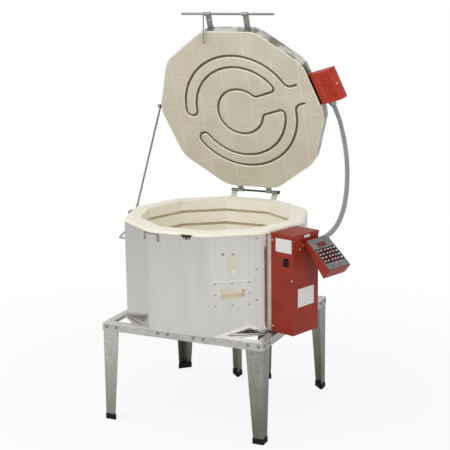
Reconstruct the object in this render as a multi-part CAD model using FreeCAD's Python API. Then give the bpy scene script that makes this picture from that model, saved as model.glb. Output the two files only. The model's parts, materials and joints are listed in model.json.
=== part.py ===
import FreeCAD, Part
import math
import os

# Electric kiln. A ten-sided brick chamber in a sheet jacket stands on a folded
# steel stand with six legs. The brick lid turns on a rod at the back and is drawn
# standing open, held by a side arm. A control box hangs on the right-hand side,
# with a sloping controller, and a flexible conduit feeds the element in the lid.
# The origin is on the floor under the middle of the stand, +Z is up, the hinge is
# at +Y and the front face looks along -Y. Lengths are millimetres, angles degrees.
# Facets are named by the angle of their outward normal. On a facet, r is the
# distance from the upright axis, u runs along the facet and z is the height.

Vector = FreeCAD.Vector
os.makedirs("parts", exist_ok=True)

# Stand
stand_width = 692.0
stand_height = 405.6
rail_face = 32.0
rail_flange = 32.0
rail_sheet = 2.0
leg_sheet = 2.0
leg_top_width = 72.0
leg_foot_width = 40.0
middle_leg_top_width = 55.0
middle_leg_foot_width = 41.0
support_spacing = 154.0
support_width = 60.0
support_depth = 28.0
support_sheet = 2.0
support_end_clearance = 1.0
brace_width = 32.0
brace_sheet = 2.0
brace_opening = 89.0
brace_edge_gap = 6.0
foot_height = 22.0
foot_wall = 2.0
foot_clearance = 0.15
foot_corner_radius = 1.5
leg_fit = 0.3

# Bolts of the stand
bolt_diameter = 6.35
bolt_clearance = 0.2
bolt_across_flats = 11.1
bolt_head_height = 4.0
nut_height = 5.0
bolt_tail = 1.5
nut_thread_clearance = 0.1
bolt_drop = 15.0
bolt_edge_outer = 16.0
bolt_edge_inner = 60.0
support_bolt_offset = 21.5
middle_leg_bolt_offset = 16.0

# Brick chamber
facets = 10
chamber_apothem = 297.0
wall_thickness = 63.2
floor_thickness = 57.15
course_height = 114.3
course_count = 3
corner_bend = 100.0
rim_round = 6.0
pan_sheet = 0.8
jacket_sheet = 0.8
jacket_clearance = 0.3
rim_stand = 12.0

# Wall elements
groove_height = 11.0
groove_depth = 14.0
coil_diameter = 9.0
coil_seat_clearance = 0.3
coil_inset = 7.0
coil_corner_radius = 20.0
top_row_drop = 48.0
row_pitch = 57.15
row_above_slot = 16.0
row_below_slot = 20.0
pin_diameter = 5.0
pin_spacing = 30.0
pin_reach = 8.0
pin_hole = 7.0
jacket_pin_hole = 12.0
element_facet = -18.0

# Thermocouple
probe_diameter = 8.0
probe_reach = 25.0
probe_hole = 8.6
probe_height = 672.0
probe_head_length = 34.0
probe_head_height = 22.0
probe_head_depth = 9.0

# Window on the facet at -54 degrees
window_facet = -54.0
slot_left = -57.5
slot_right = 37.5
slot_bottom = 550.0
slot_top = 588.0
plate_width = 147.0
plate_height = 103.0
plate_sheet = 1.2
plate_corner_radius = 2.0
plate_screw_inset = 8.0
plate_shift_u = -2.5
plate_shift_z = 0.5
peephole_diameter = 22.0
peephole_height = 680.0
peephole_u = -9.0

# Peephole cover, a pear-shaped plate hung on one screw
cover_pivot_height = 725.0
cover_sheet = 1.6
cover_gap = 0.3
cover_top_radius = 8.0
cover_radius = 21.5
cover_drop = 38.0
cover_tab_width = 16.0
cover_tab_length = 12.0
cover_tab_lift = 7.0
cover_pivot_diameter = 4.0
cover_pivot_clearance = 0.08
stop_screw_offset = 38.0
stop_screw_height = 5.0

# Small screws
screw_head_radius = 4.0
screw_head_height = 2.0
screw_shank_radius = 1.6
screw_hole_radius = 1.8
seam_screw_inset = 3.0
strap_screw_low = 12.0
strap_screw_high = 36.0
strap_screw_shift = 9.0
stop_screw_inset = 16.0
stop_screw_drop = 8.0
keeper_screw_drop = 24.0
handle_screw_offset = 8.0

# Lid
lid_apothem = 355.0
lid_thickness = 50.8
lid_gap = 0.3
lid_edge_round = 3.0
lid_band_sheet = 0.8
lid_band_inset = 3.0
lid_open_angle = 70.67

# Lid element, seen on the inner face with its ends towards the terminal box
outer_ring_radius = 250.0
middle_ring_radius = 200.0
inner_ring_radius = 101.0
lead_spacing = 84.0
lead_end = 296.0
turn_angle = 162.4
outer_fillet = 30.0
step_fillet = 18.0
inner_fillet = 20.0
lid_groove_mouth = 16.0
lid_groove_width = 12.0
lid_groove_bevel = 3.0
lid_groove_depth = 13.0
lid_pin_height = 20.0
lid_pin_reach = 24.0
band_pin_hole = 10.0

# Hinge
hinge_axis_behind_jacket = 28.3
hinge_rod_diameter = 8.0
hinge_end_gap = 0.3
hinge_collar_length = 3.0
hinge_fit = 0.08
hinge_knob_diameter = 14.0
hinge_knob_length = 7.0
strap_width = 24.5
strap_thickness = 3.0
body_strap_spacing = 189.0
lid_strap_spacing = 132.0
body_strap_drop = 54.0
strap_margin = 6.0

# Lid handle and latch hook
handle_diameter = 9.5
handle_length = 405.0
handle_shift = -2.5
handle_stand_off = 65.0
handle_height = 25.0
handle_strap_width = 25.0
handle_strap_left = -88.0
handle_strap_right = 76.0
handle_strap_hole = 6.0
hook_width = 5.0
hook_thickness = 2.5
hook_length = 118.0
hook_eye_wall = 3.0
hook_side_gap = 1.0
hook_bend = 9.0

# Support arm
arm_width = 12.7
arm_thickness = 3.2
arm_plane = -386.6
arm_eye_radius = 8.0
arm_end_y = 32.0
arm_end_z = 804.0
arm_bolt_diameter = 8.0
arm_bolt_head = 15.0
arm_bolt_head_length = 6.0
arm_bolt_depth = 22.0
arm_fit = 0.08
arm_side_gap = 0.3
arm_spacer_radius = 7.0
catch_front = -37.0
catch_back = 40.0
catch_height = 12.0
catch_sheet = 3.0
catch_gap = 0.5
catch_foot_length = 38.0

# Lid terminal box
box_seat_gap = 4.0
terminal_box_depth = 100.0
terminal_box_left = -60.0
terminal_box_right = 73.0
terminal_box_bottom = 14.0
terminal_box_top = 46.0
terminal_box_chamfer = 15.0
terminal_tab_length = 13.0
terminal_tab_height = 24.0
terminal_sheet = 1.2
seat_plate_inset = 8.0
terminal_block_depth = 20.0
terminal_block_height = 11.0
terminal_block_margin = 8.0
terminal_block_offset = 6.0
pin_block_fit = 0.3
louvre_columns = 4
louvre_pitch = 16.0
louvre_spacing = 37.0
louvre_length = 27.0
louvre_width = 1.4
louvre_first = 22.0

# Stand-off channel, control box and what is in it
channel_depth = 10.7
channel_sheet = 1.0
box_left = -99.0
box_right = 50.0
box_bottom = 413.0
box_top = 800.0
box_depth = 109.0
box_sheet = 1.5
box_lip = 2.0
box_lip_depth = 12.0
channel_top_gap = 5.0
relay_size = (26.0, 46.0, 58.0)
transformer_size = (34.0, 54.0, 46.0)
block_size = (18.0, 62.0, 22.0)
louvre_rows = 6

# Rocker switch on the front side of the box
switch_r = 445.5
switch_z = 693.5
switch_width = 25.0
switch_height = 32.0
switch_flange = 1.6
switch_window_width = 17.0
switch_window_height = 25.2
switch_housing_depth = 16.0
switch_housing_wall = 1.5
switch_hole_fit = 0.3
rocker_side_gap = 0.4
rocker_length = 23.0
rocker_pivot_depth = 1.5
rocker_tilt = 10.0
rocker_axle_radius = 1.5
rocker_axle_fit = 0.08

# Controller
controller_gap = 16.0
controller_drop = 23.0
controller_left = -44.0
controller_width = 129.0
controller_length = 148.7
controller_slope = 41.0
controller_depth_low = 47.0
controller_depth_high = 20.0
controller_edge_round = 4.0
panel_margin = 3.0
panel_raise = 1.0
display_left = 38.0
display_top = 22.0
display_width = 48.0
display_height = 20.0
display_raise = 0.8
keypad_margin = 6.0
keypad_top = 50.0
keypad_height = 67.0
keypad_raise = 0.6
key_columns = (14.0, 33.0, 56.0, 74.0, 92.0, 111.0)
key_rows = 4
key_first_row = 59.0
key_pitch = 16.0
key_width = 12.0
key_height = 8.5
key_raise = 0.5
lamp_radius = 2.2
bracket_sheet = 1.6
bracket_left = -84.0
bracket_right = 40.0
bracket_drop = 84.0
bracket_screws = ((20.0, 29.0), (39.0, 42.0))
bracket_flange = 70.0

# Side lifting handles
side_handle_angle = 18.0
side_handle_height = 715.0
side_handle_span = 130.0
side_handle_reach = 30.0
side_handle_rod = 8.0
side_handle_bend = 12.0
side_handle_foot = 26.0
side_handle_foot_sheet = 2.0

# Lid keeper strip and front stop
keeper_height = 5.0
keeper_sheet = 1.5
keeper_reach = 76.0
keeper_drop = 32.0
keeper_strip_width = 11.0
stop_left = 20.0
stop_right = 67.0
stop_taper = 13.0
stop_height = 17.0
stop_sheet = 2.0
stop_lip = 9.0
stop_rise = 4.0

# Band clamp on the lid
clamp_left = -112.0
clamp_right = -74.0
clamp_lug = 12.0
clamp_lug_height = 14.0
clamp_sheet = 2.0
clamp_screw_radius = 2.5

# Conduit between the control box and the lid
conduit_diameter = 20.0
conduit_straight_end = 54.0
lid_connector_length = 18.0
box_connector_length = 30.0
connector_radius = 14.0
connector_nut_length = 9.0
connector_throat_radius = 12.0
lid_connector_inset = 35.9
box_connector_inset = 42.0
box_connector_drop = 55.0

# Heights and radii that follow
half = stand_width / 2
inner_face = half - rail_sheet
flange_under = stand_height - rail_sheet
bolt_z = stand_height - bolt_drop
floor_z = stand_height + pan_sheet
chamber_floor = floor_z + floor_thickness
rim_z = chamber_floor + course_count * course_height
brick_apothem = chamber_apothem + wall_thickness
jacket_inner = brick_apothem + jacket_clearance
jacket_apothem = jacket_inner + jacket_sheet
jacket_top = rim_z - rim_stand
lid_z = rim_z + lid_gap
lid_band_inner = lid_apothem + jacket_clearance
lid_band_apothem = lid_band_inner + lid_band_sheet
hinge_y = jacket_apothem + hinge_axis_behind_jacket
hinge_z = rim_z + lid_thickness / 2
box_seat_r = lid_band_apothem + box_seat_gap
terminal_outer_r = box_seat_r + terminal_box_depth
lid_connector_r = box_seat_r + lid_connector_inset
lid_connector_height = (terminal_box_bottom + terminal_box_top) / 2
channel_r = jacket_apothem + channel_depth
box_outer_r = channel_r + box_depth
channel_top = box_top - channel_top_gap
controller_top_r = box_outer_r + controller_gap
controller_top_z = box_top - controller_drop
bracket_bottom = box_top - bracket_drop
box_connector_r = box_outer_r - box_connector_inset
box_connector_z = box_top - box_connector_drop
coil_radius = coil_diameter / 2
element_rows = [rim_z - top_row_drop - row_pitch * row for row in range(3)]
element_rows += [slot_top + row_above_slot, slot_bottom - row_below_slot]


def save(name, solids):
    """Write one node, a single solid or a group of separate ones."""
    group = solids if isinstance(solids, list) else [solids]
    pieces = [piece for shape in group for piece in shape.Solids]
    for piece in pieces:
        if not piece.isValid():
            raise ValueError(name + " holds a solid that isn't valid")
    shape = pieces[0] if len(pieces) == 1 else Part.makeCompound(pieces)
    shape.exportStep("parts/" + name + ".step")
    volume = sum(piece.Volume for piece in pieces) / 1000
    print(name, "solids", len(pieces), "cm3", round(volume, 2))


def box(x0, x1, y0, y1, z0, z1):
    """A block between three pairs of planes."""
    return Part.makeBox(x1 - x0, y1 - y0, z1 - z0, Vector(x0, y0, z0))


def rod(start, end, radius):
    """A round bar between two points."""
    return Part.makeCylinder(radius, (end - start).Length, start, end - start)


def joined(shapes):
    """Fuse shapes into one and drop the seams between them."""
    return shapes[0].multiFuse(shapes[1:]).removeSplitter()


def cut_all(shape, tools):
    """Take every tool out of a shape."""
    return shape.cut(Part.makeCompound(tools)) if tools else shape


def outline(points, radii):
    """A closed wire in the XY plane, with a tangent arc at each rounded corner."""
    corners = [Vector(x, y, 0) for x, y in points]
    if not isinstance(radii, (list, tuple)):
        radii = [radii] * len(corners)
    stops = []
    for index, corner in enumerate(corners):
        before = (corners[index - 1] - corner).normalize()
        after = (corners[(index + 1) % len(corners)] - corner).normalize()
        inside = before.getAngle(after)
        radius = radii[index]
        if radius <= 0:
            stops.append((corner, corner, corner))
            continue
        reach = radius / math.tan(inside / 2)
        middle = (before + after).normalize()
        dip = radius / math.sin(inside / 2) - radius
        stops.append((corner + before * reach, corner + middle * dip, corner + after * reach))
    edges = []
    for index, (start, middle, end) in enumerate(stops):
        if radii[index] > 0:
            edges.append(Part.Arc(start, middle, end).toShape())
        following = stops[(index + 1) % len(stops)][0]
        if (following - end).Length > 1e-6:
            edges.append(Part.makeLine(end, following))
    return Part.Wire(edges)


def prism(points, z0, z1, radii=0):
    """An outline in XY, raised between two heights."""
    face = Part.Face(outline(points, radii))
    face.translate(Vector(0, 0, z0))
    return face.extrude(Vector(0, 0, z1 - z0))


def side_profile(points, x0, x1, radii=0):
    """An outline given as (y, z) points, drawn out along X."""
    solid = prism(points, x0, x1, radii)
    return solid.transformed(FreeCAD.Matrix(0, 0, 1, 0, 1, 0, 0, 0, 0, 1, 0, 0))


def radial_profile(points, u0, u1, radii=0):
    """An outline given as (r, z) points of facet 0, drawn out along u."""
    solid = prism(points, -u1, -u0, radii)
    solid.rotate(Vector(), Vector(1, 0, 0), 90)
    return solid


def strip(points, thickness):
    """The outline of a folded strip that lies to the left of a bent line."""
    line = [Vector(x, y, 0) for x, y in points]
    offset = []
    for index, point in enumerate(line):
        sides = []
        for start, end in ((index - 1, index), (index, index + 1)):
            if 0 <= start and end < len(line):
                run = (line[end] - line[start]).normalize()
                sides.append(Vector(-run.y, run.x, 0))
        middle = sum(sides[1:], sides[0]).normalize()
        offset.append(point + middle * (thickness / middle.dot(sides[0])))
    loop = line + offset[::-1]
    return [(point.x, point.y) for point in loop]


def decagon(apothem):
    """The ten corners of the kiln's plan, with a flat side facing the front."""
    radius = apothem / math.cos(math.pi / facets)
    angles = [math.radians(360 / facets * index) for index in range(facets)]
    return [(radius * math.cos(angle), radius * math.sin(angle)) for angle in angles]


def decagon_prism(apothem, z0, z1, corner=0):
    """A ten-sided block with its upright corners rounded."""
    return prism(decagon(apothem), z0, z1, corner)


def on_facet(shape, angle):
    """Turn what is drawn on facet 0, with r along X and u along Y, to a facet."""
    turned = shape.copy()
    turned.rotate(Vector(), Vector(0, 0, 1), angle)
    return turned


def facet_point(angle, r, u, z):
    """The place of (r, u, z) on a facet."""
    radians = math.radians(angle)
    return Vector(r * math.cos(radians) - u * math.sin(radians),
                  r * math.sin(radians) + u * math.cos(radians), z)


def opened(shape):
    """Swing what is drawn on the closed lid to the open rest position."""
    turned = shape.copy()
    turned.rotate(Vector(0, hinge_y, hinge_z), Vector(1, 0, 0), -lid_open_angle)
    return turned


def opened_point(point):
    """A point of the closed lid where it lies with the lid open."""
    turn = FreeCAD.Rotation(Vector(1, 0, 0), -lid_open_angle)
    axis = Vector(0, hinge_y, hinge_z)
    return axis + turn.multVec(point - axis)


def hexagon(across, x0, x1):
    """A hexagonal block about the X axis, flats facing up and down."""
    radius = across / math.sqrt(3)
    angles = [math.radians(60 * index) for index in range(6)]
    points = [(radius * math.cos(angle), radius * math.sin(angle)) for angle in angles]
    block = prism(points, x0, x1)
    return block.transformed(FreeCAD.Matrix(0, 0, 1, 0, 1, 0, 0, 0, 0, 1, 0, 0))


def screw(angle, r, u, z, grip):
    """A pan-head screw on a facet: the head seats at r, the shank goes in by grip."""
    neck = screw_head_height / 2
    head = Part.makeCylinder(screw_head_radius, neck, Vector(r, u, z), Vector(1, 0, 0))
    dome = Part.makeCone(screw_head_radius, screw_head_radius * 0.55, neck,
                         Vector(r + neck, u, z), Vector(1, 0, 0))
    shank = Part.makeCylinder(screw_shank_radius, grip, Vector(r - grip, u, z), Vector(1, 0, 0))
    return on_facet(joined([head, dome, shank]), angle)


def screw_hole(angle, r, u, z, depth):
    """The clearance hole of such a screw."""
    start = Vector(r - depth, u, z)
    hole = Part.makeCylinder(screw_hole_radius, 2 * depth, start, Vector(1, 0, 0))
    return on_facet(hole, angle)


# Stand

def stand_rail(x_holes):
    """The front rail: an angle with its flange turned in, mitred at both ends."""
    low = stand_height - rail_face
    corners = [(-half, low), (-inner_face, low), (-inner_face, flange_under),
               (-half + rail_flange, flange_under), (-half + rail_flange, stand_height),
               (-half, stand_height)]
    rail = side_profile(corners, -half, half, [0, 0, 0, 0, 0, rail_sheet])
    reach = half + 1
    sector = prism([(0, 0), (-reach, -reach), (reach, -reach)], 0, stand_height + 1)
    holes = []
    for x in x_holes:
        hole_radius = bolt_diameter / 2 + bolt_clearance
        holes.append(rod(Vector(x, -half - 1, bolt_z), Vector(x, -inner_face + 1, bolt_z), hole_radius))
    return cut_all(rail.common(sector), holes)


def folded_leg(top_width, foot_width, top_z):
    """A tapered folded angle with its corner at the origin and flanges along +X and +Y."""
    side = [(0, foot_wall), (leg_width(top_width, foot_width, top_z, foot_wall), foot_wall),
            (top_width, top_z), (0, top_z)]
    along_y = side_profile(side, 0, leg_sheet)
    along_x = along_y.mirror(Vector(), Vector(1, -1, 0))
    return joined([along_x, along_y])


def leg_width(top_width, foot_width, top_z, z):
    """Flange width of a leg at a height."""
    return foot_width + (top_width - foot_width) * z / top_z


def foot_cap(top_width, foot_width, top_z):
    """The moulded cap on the foot of a leg, a five-sided block with a pocket in the leg's L shape."""
    width = leg_width(top_width, foot_width, top_z, foot_height)
    low = -foot_wall
    end = width + foot_wall
    wide = leg_sheet + foot_wall
    outer = [(low, low), (end, low), (end, wide), (wide, end), (low, end)]
    pocket = ell(-foot_clearance, width + foot_clearance, leg_sheet + foot_clearance)
    block = prism(outer, 0, foot_height, foot_corner_radius)
    return block.cut(prism(pocket, foot_wall, foot_height + 1))


def ell(low, reach, wall):
    """The outline of an L with equal flanges."""
    return [(low, low), (reach, low), (reach, wall), (wall, wall), (wall, reach), (low, reach)]


def at_corner(shape, x, y, x_side, y_side):
    """Place an L-shaped piece with its flanges towards x_side and y_side."""
    placed = shape.copy()
    if x_side < 0:
        placed = placed.mirror(Vector(), Vector(1, 0, 0))
    if y_side < 0:
        placed = placed.mirror(Vector(), Vector(0, 1, 0))
    placed.translate(Vector(x, y, 0))
    return placed


def bolt_and_nut(x, grip, side):
    """A hex bolt through the front rail at x, and its nut, turned to a side of the stand."""
    head = hexagon(bolt_across_flats, -bolt_head_height, 0)
    tail = grip + nut_height + bolt_tail
    shank = rod(Vector(-1, 0, 0), Vector(tail, 0, 0), bolt_diameter / 2)
    bolt = joined([head, shank])
    nut = hexagon(bolt_across_flats, grip, grip + nut_height)
    bore = bolt_diameter / 2 + nut_thread_clearance
    nut = nut.cut(rod(Vector(grip - 1, 0, 0), Vector(tail + 1, 0, 0), bore))
    pair = []
    for piece in (bolt, nut):
        piece.rotate(Vector(), Vector(0, 0, 1), 90)
        piece.translate(Vector(x, -half, bolt_z))
        piece.rotate(Vector(), Vector(0, 0, 1), side)
        pair.append(piece)
    return pair


def bolt_holes_for(spots):
    """Clearance holes through legs and tabs, for bolts given as (x, side)."""
    holes = []
    for x, side in spots:
        start = Vector(x, -half - 1, bolt_z)
        end = Vector(x, -half + 4 * rail_sheet, bolt_z)
        hole = rod(start, end, bolt_diameter / 2 + bolt_clearance)
        hole.rotate(Vector(), Vector(0, 0, 1), side)
        holes.append(hole)
    return holes


corner_spots = [inner_face - bolt_edge_outer, inner_face - bolt_edge_inner]
corner_holes = corner_spots + [-x for x in corner_spots]
support_x = support_spacing / 2
support_spots = [support_x - support_bolt_offset, support_x + support_bolt_offset]
support_holes = support_spots + [-x for x in support_spots]
back_spots = [support_x - middle_leg_bolt_offset, support_x + support_bolt_offset]
back_holes = back_spots + [-x for x in back_spots]


def make_rails():
    """Four mitred rails."""
    for name, side, extra in (("front", 0, support_holes), ("right", 90, []),
                              ("back", 180, back_holes), ("left", 270, [])):
        rail = stand_rail(corner_holes + extra)
        rail.rotate(Vector(), Vector(0, 0, 1), side)
        save("stand_rail_" + name, rail)


def make_legs():
    """Four corner legs, two middle legs at the back and the caps on all six."""
    holes = bolt_holes_for([(x, side) for x in corner_holes for side in (0, 90, 180, 270)])
    leg = folded_leg(leg_top_width, leg_foot_width, flange_under)
    cap = foot_cap(leg_top_width, leg_foot_width, flange_under)
    caps = []
    for name, x, y in (("front_left", -1, -1), ("front_right", 1, -1),
                       ("back_left", -1, 1), ("back_right", 1, 1)):
        place = (x * inner_face, y * inner_face, -x, -y)
        save("leg_" + name, cut_all(at_corner(leg, *place), holes))
        caps.append(at_corner(cap, *place))
    top = flange_under - support_sheet
    leg = folded_leg(middle_leg_top_width, middle_leg_foot_width, top)
    cap = foot_cap(middle_leg_top_width, middle_leg_foot_width, top)
    corner_x = support_x - support_width / 2 + support_sheet + leg_fit
    middle = []
    back = bolt_holes_for([(x, 180) for x in back_holes])
    for x in (-1, 1):
        place = (x * corner_x, inner_face, x, -1)
        middle.append(cut_all(at_corner(leg, *place), back))
        caps.append(at_corner(cap, *place))
    save("middle_legs", middle)
    save("foot_caps", caps)


def make_cross_supports():
    """Two inverted channels from the front rail to the back rail."""
    wide = support_width / 2
    inner = wide - support_sheet
    top = flange_under
    plate_under = top - support_sheet
    low = top - support_depth
    shape = [(-wide, low), (-inner, low), (-inner, plate_under), (inner, plate_under),
             (inner, low), (wide, low), (wide, top), (-wide, top)]
    channel = prism(shape, -inner_face, inner_face)
    channel.rotate(Vector(), Vector(1, 0, 0), 90)
    tab_low = low + support_end_clearance
    front = box(-inner, inner, -inner_face, -inner_face + support_sheet, tab_low, plate_under)
    back_face = inner_face - leg_sheet
    leg_side = leg_fit + leg_sheet + support_end_clearance
    back = box(-inner + leg_side, inner, back_face - support_sheet, back_face, tab_low, plate_under)
    right = joined([channel, front, back])
    right.translate(Vector(support_x, 0, 0))
    left = right.mirror(Vector(), Vector(1, 0, 0))
    holes = bolt_holes_for([(x, 0) for x in support_holes] + [(x, 180) for x in back_holes])
    save("cross_supports", [cut_all(left, holes), cut_all(right, holes)])


def make_corner_braces():
    """A diagonal strip under the flanges at each corner, leaving a triangular opening."""
    flange_corner = half - rail_flange
    near = 2 * flange_corner - brace_opening
    far = near - brace_width * math.sqrt(2)
    edge = inner_face - brace_edge_gap
    shape = [(near - edge, edge), (edge, near - edge), (edge, far - edge), (far - edge, edge)]
    braces = []
    for side in (0, 90, 180, 270):
        brace = prism(shape, flange_under - brace_sheet, flange_under)
        brace.rotate(Vector(), Vector(0, 0, 1), side)
        braces.append(brace)
    save("corner_braces", braces)


def make_stand_bolts():
    """Bolts and nuts of all four sides."""
    fasteners = []
    pair_sheet = rail_sheet + leg_sheet
    spots = [(x, pair_sheet, side) for x in corner_holes for side in (0, 90, 180, 270)]
    spots += [(x, rail_sheet + support_sheet, 0) for x in support_holes]
    spots += [(x, pair_sheet + support_sheet, 180) for x in back_holes]
    for x, grip, side in spots:
        fasteners += bolt_and_nut(x, grip, side)
    save("stand_bolts", fasteners)


# Brick chamber

def groove_ring(z):
    """The channel for one element, cut into the chamber's face all round."""
    low = z - groove_height / 2
    high = z + groove_height / 2
    outer = decagon_prism(chamber_apothem + groove_depth, low, high)
    return outer.cut(decagon_prism(chamber_apothem - 1, low - 1, high + 1))


def wall_openings():
    """Everything that passes through the brick wall."""
    inner = chamber_apothem - 5
    outer = jacket_apothem + 5
    tools = [on_facet(box(inner, outer, slot_left, slot_right, slot_bottom, slot_top), window_facet)]
    peephole = rod(Vector(inner, peephole_u, peephole_height), Vector(outer, peephole_u, peephole_height),
                   peephole_diameter / 2)
    tools.append(on_facet(peephole, window_facet))
    for z in element_rows:
        for u in (-pin_spacing / 2, pin_spacing / 2):
            hole = rod(Vector(inner, u, coil_z(z)), Vector(outer, u, coil_z(z)), pin_hole / 2)
            tools.append(on_facet(hole, element_facet))
    probe = rod(Vector(inner, 0, probe_height), Vector(outer, 0, probe_height), probe_hole / 2)
    tools.append(on_facet(probe, element_facet))
    return tools


def coil_z(row):
    """Height of a coil that lies in its groove."""
    return row - groove_height / 2 + coil_seat_clearance + coil_radius


def make_courses():
    """Three courses of ten mitred bricks, with the element grooves cut in them."""
    grooves = [groove_ring(z) for z in element_rows]
    tools = grooves + wall_openings()
    step = 360 / facets
    far = 2 * brick_apothem
    spread = far * math.tan(math.radians(step / 2))
    for index, name in enumerate(("lower", "middle", "upper")):
        low = chamber_floor + index * course_height
        high = low + course_height
        block = decagon_prism(brick_apothem, low, high, corner_bend)
        if name == "upper":
            edges = [edge for edge in block.Edges if edge.BoundBox.ZMin > high - 0.01]
            block = block.makeFillet(rim_round, edges)
        ring = block.cut(decagon_prism(chamber_apothem, low - 1, high + 1))
        ring = cut_all(ring, tools)
        bricks = []
        for facet in range(facets):
            wedge = prism([(0, 0), (far, -spread), (far, spread)], low - 1, high + 1)
            bricks.append(ring.common(on_facet(wedge, step / 2 + step * facet)))
        save("brick_course_" + name, bricks)


def make_floor():
    """The floor slab and the sheet pan that carries it."""
    save("floor_slab", decagon_prism(brick_apothem, floor_z, chamber_floor, corner_bend))
    save("floor_pan", decagon_prism(brick_apothem, stand_height, floor_z, corner_bend))


def make_wall_elements():
    """Five element rings, open on one facet where their pins go out through the wall."""
    apothem = chamber_apothem + coil_inset
    reach = apothem * math.tan(math.pi / facets)
    end_u = pin_spacing / 2
    rings = []
    for row in element_rows:
        z = coil_z(row)
        corners = [facet_point(element_facet + 36 * index, apothem, reach, z) for index in range(facets)]
        start = facet_point(element_facet, apothem, end_u, z)
        end = facet_point(element_facet, apothem, -end_u, z)
        path = rounded_path([start] + corners + [end], coil_corner_radius)
        ring = pipe(path, start, corners[0] - start, coil_radius)
        pins = []
        for point in (start, end):
            tip = facet_point(element_facet, jacket_apothem + pin_reach, 0, z)
            along = facet_point(element_facet, apothem, 0, z)
            pins.append(rod(point, point + tip - along, pin_diameter / 2))
        rings.append(joined([ring] + pins))
    save("side_elements", rings)


def rounded_path(points, radius):
    """Straight runs joined by arcs of one radius."""
    edges = []
    last = points[0]
    for index in range(1, len(points) - 1):
        corner = points[index]
        before = (points[index - 1] - corner).normalize()
        after = (points[index + 1] - corner).normalize()
        inside = before.getAngle(after)
        reach = radius / math.tan(inside / 2)
        dip = radius / math.sin(inside / 2) - radius
        start = corner + before * reach
        end = corner + after * reach
        edges.append(Part.makeLine(last, start))
        edges.append(Part.Arc(start, corner + (before + after).normalize() * dip, end).toShape())
        last = end
    edges.append(Part.makeLine(last, points[-1]))
    return Part.Wire(edges)


def pipe(path, start, direction, radius):
    """A round bar swept along a wire."""
    ring = Part.Wire(Part.makeCircle(radius, start, direction))
    return path.makePipeShell([ring], True, False)


def make_thermocouple():
    """A ceramic tube through the wall with its terminal head in the stand-off channel."""
    tube = rod(Vector(chamber_apothem - probe_reach, 0, probe_height),
               Vector(jacket_apothem + 1, 0, probe_height), probe_diameter / 2)
    tip = Part.makeSphere(probe_diameter / 2, Vector(chamber_apothem - probe_reach, 0, probe_height))
    head = box(jacket_apothem, jacket_apothem + probe_head_depth, -probe_head_length / 2,
               probe_head_length / 2, probe_height - probe_head_height / 2,
               probe_height + probe_head_height / 2)
    save("thermocouple", on_facet(joined([tube, tip, head]), element_facet))


# Jacket and what is screwed to it

half_plate = plate_width / 2
plate_u = (slot_left + slot_right) / 2 + plate_shift_u
plate_z = (slot_bottom + slot_top) / 2 + plate_shift_z
strap_x = body_strap_spacing / 2


def jacket_screws():
    """Every screw of the jacket as (facet, r, u, z, grip)."""
    spots = []
    across = half_plate - plate_screw_inset
    up = plate_height / 2 - plate_screw_inset
    for u in (plate_u - across, plate_u, plate_u + across):
        for z in (plate_z - up, plate_z, plate_z + up):
            if (u, z) != (plate_u, plate_z):
                spots.append((window_facet, jacket_apothem + plate_sheet, u, z))
    seam_u = jacket_apothem * math.tan(math.pi / facets) - corner_bend * math.tan(math.pi / facets)
    for share in (0.04, 0.35, 0.66, 0.97):
        z = stand_height + (jacket_top - stand_height) * share
        spots.append((window_facet, jacket_apothem, seam_u - seam_screw_inset, z))
    for z in (body_strap_low + strap_screw_low, body_strap_low + strap_screw_high):
        spots.append((90, jacket_apothem + strap_thickness, -strap_x + strap_screw_shift, z))
        spots.append((90, jacket_apothem + strap_thickness, strap_x - strap_screw_shift, z))
    for u in (stop_left + stop_screw_inset, stop_right - stop_screw_inset):
        spots.append((-90, jacket_apothem + stop_sheet, u, jacket_top - stop_screw_drop))
    spots.append((-90, jacket_apothem + keeper_sheet, keeper_u, jacket_top - keeper_screw_drop))
    spots.append((-126, jacket_apothem + keeper_sheet, -keeper_u, jacket_top - keeper_screw_drop))
    for u in (catch_foot_u + 1, catch_foot_u + catch_foot_length / 2 - 6):
        spots.append((198, jacket_apothem + catch_sheet, u, catch_z))
    for facet in (side_handle_angle, 180 + side_handle_angle):
        for side in (-1, 1):
            for z in (-handle_screw_offset, handle_screw_offset):
                spots.append((facet, jacket_apothem + side_handle_foot_sheet,
                              side * side_handle_span / 2, side_handle_height + z))
    return spots


body_strap_low = jacket_top - body_strap_drop
keeper_u = -(jacket_apothem - corner_bend) * math.tan(math.pi / facets) + keeper_strip_width / 2
catch_z = jacket_top + rim_stand - 6 - catch_height
catch_foot_u = -(jacket_apothem - corner_bend) * math.tan(math.pi / facets) + catch_foot_length / 2


def make_jacket():
    """The sheet jacket with its cut-outs, and the screws that hold things to it."""
    outer = decagon_prism(jacket_apothem, stand_height, jacket_top, corner_bend + jacket_sheet)
    inner = decagon_prism(jacket_inner, stand_height - 1, jacket_top + 1, corner_bend)
    tools = wall_openings()
    for z in element_rows:
        for u in (-pin_spacing / 2, pin_spacing / 2):
            hole = rod(Vector(jacket_inner - 1, u, coil_z(z)), Vector(jacket_apothem + 1, u, coil_z(z)),
                       jacket_pin_hole / 2)
            tools.append(on_facet(hole, element_facet))
    screws = []
    for facet, r, u, z, grip in all_screws():
        screws.append(screw(facet, r, u, z, grip))
        tools.append(screw_hole(facet, r, u, z, grip + 1))
    save("jacket", cut_all(outer.cut(inner), tools))
    save("jacket_screws", screws + peephole_screws())


def all_screws():
    """The jacket's screws, each just long enough to pass through what it holds."""
    return [(facet, r, u, z, r - jacket_inner) for facet, r, u, z in jacket_screws()]


def with_screw_holes(shape, facet):
    """Cut the clearance holes of a facet's screws from a piece that they hold."""
    holes = [screw_hole(angle, r, u, z, grip + 1) for angle, r, u, z, grip in all_screws()
             if abs(angle - facet) < 0.1]
    return cut_all(shape, holes)


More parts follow.
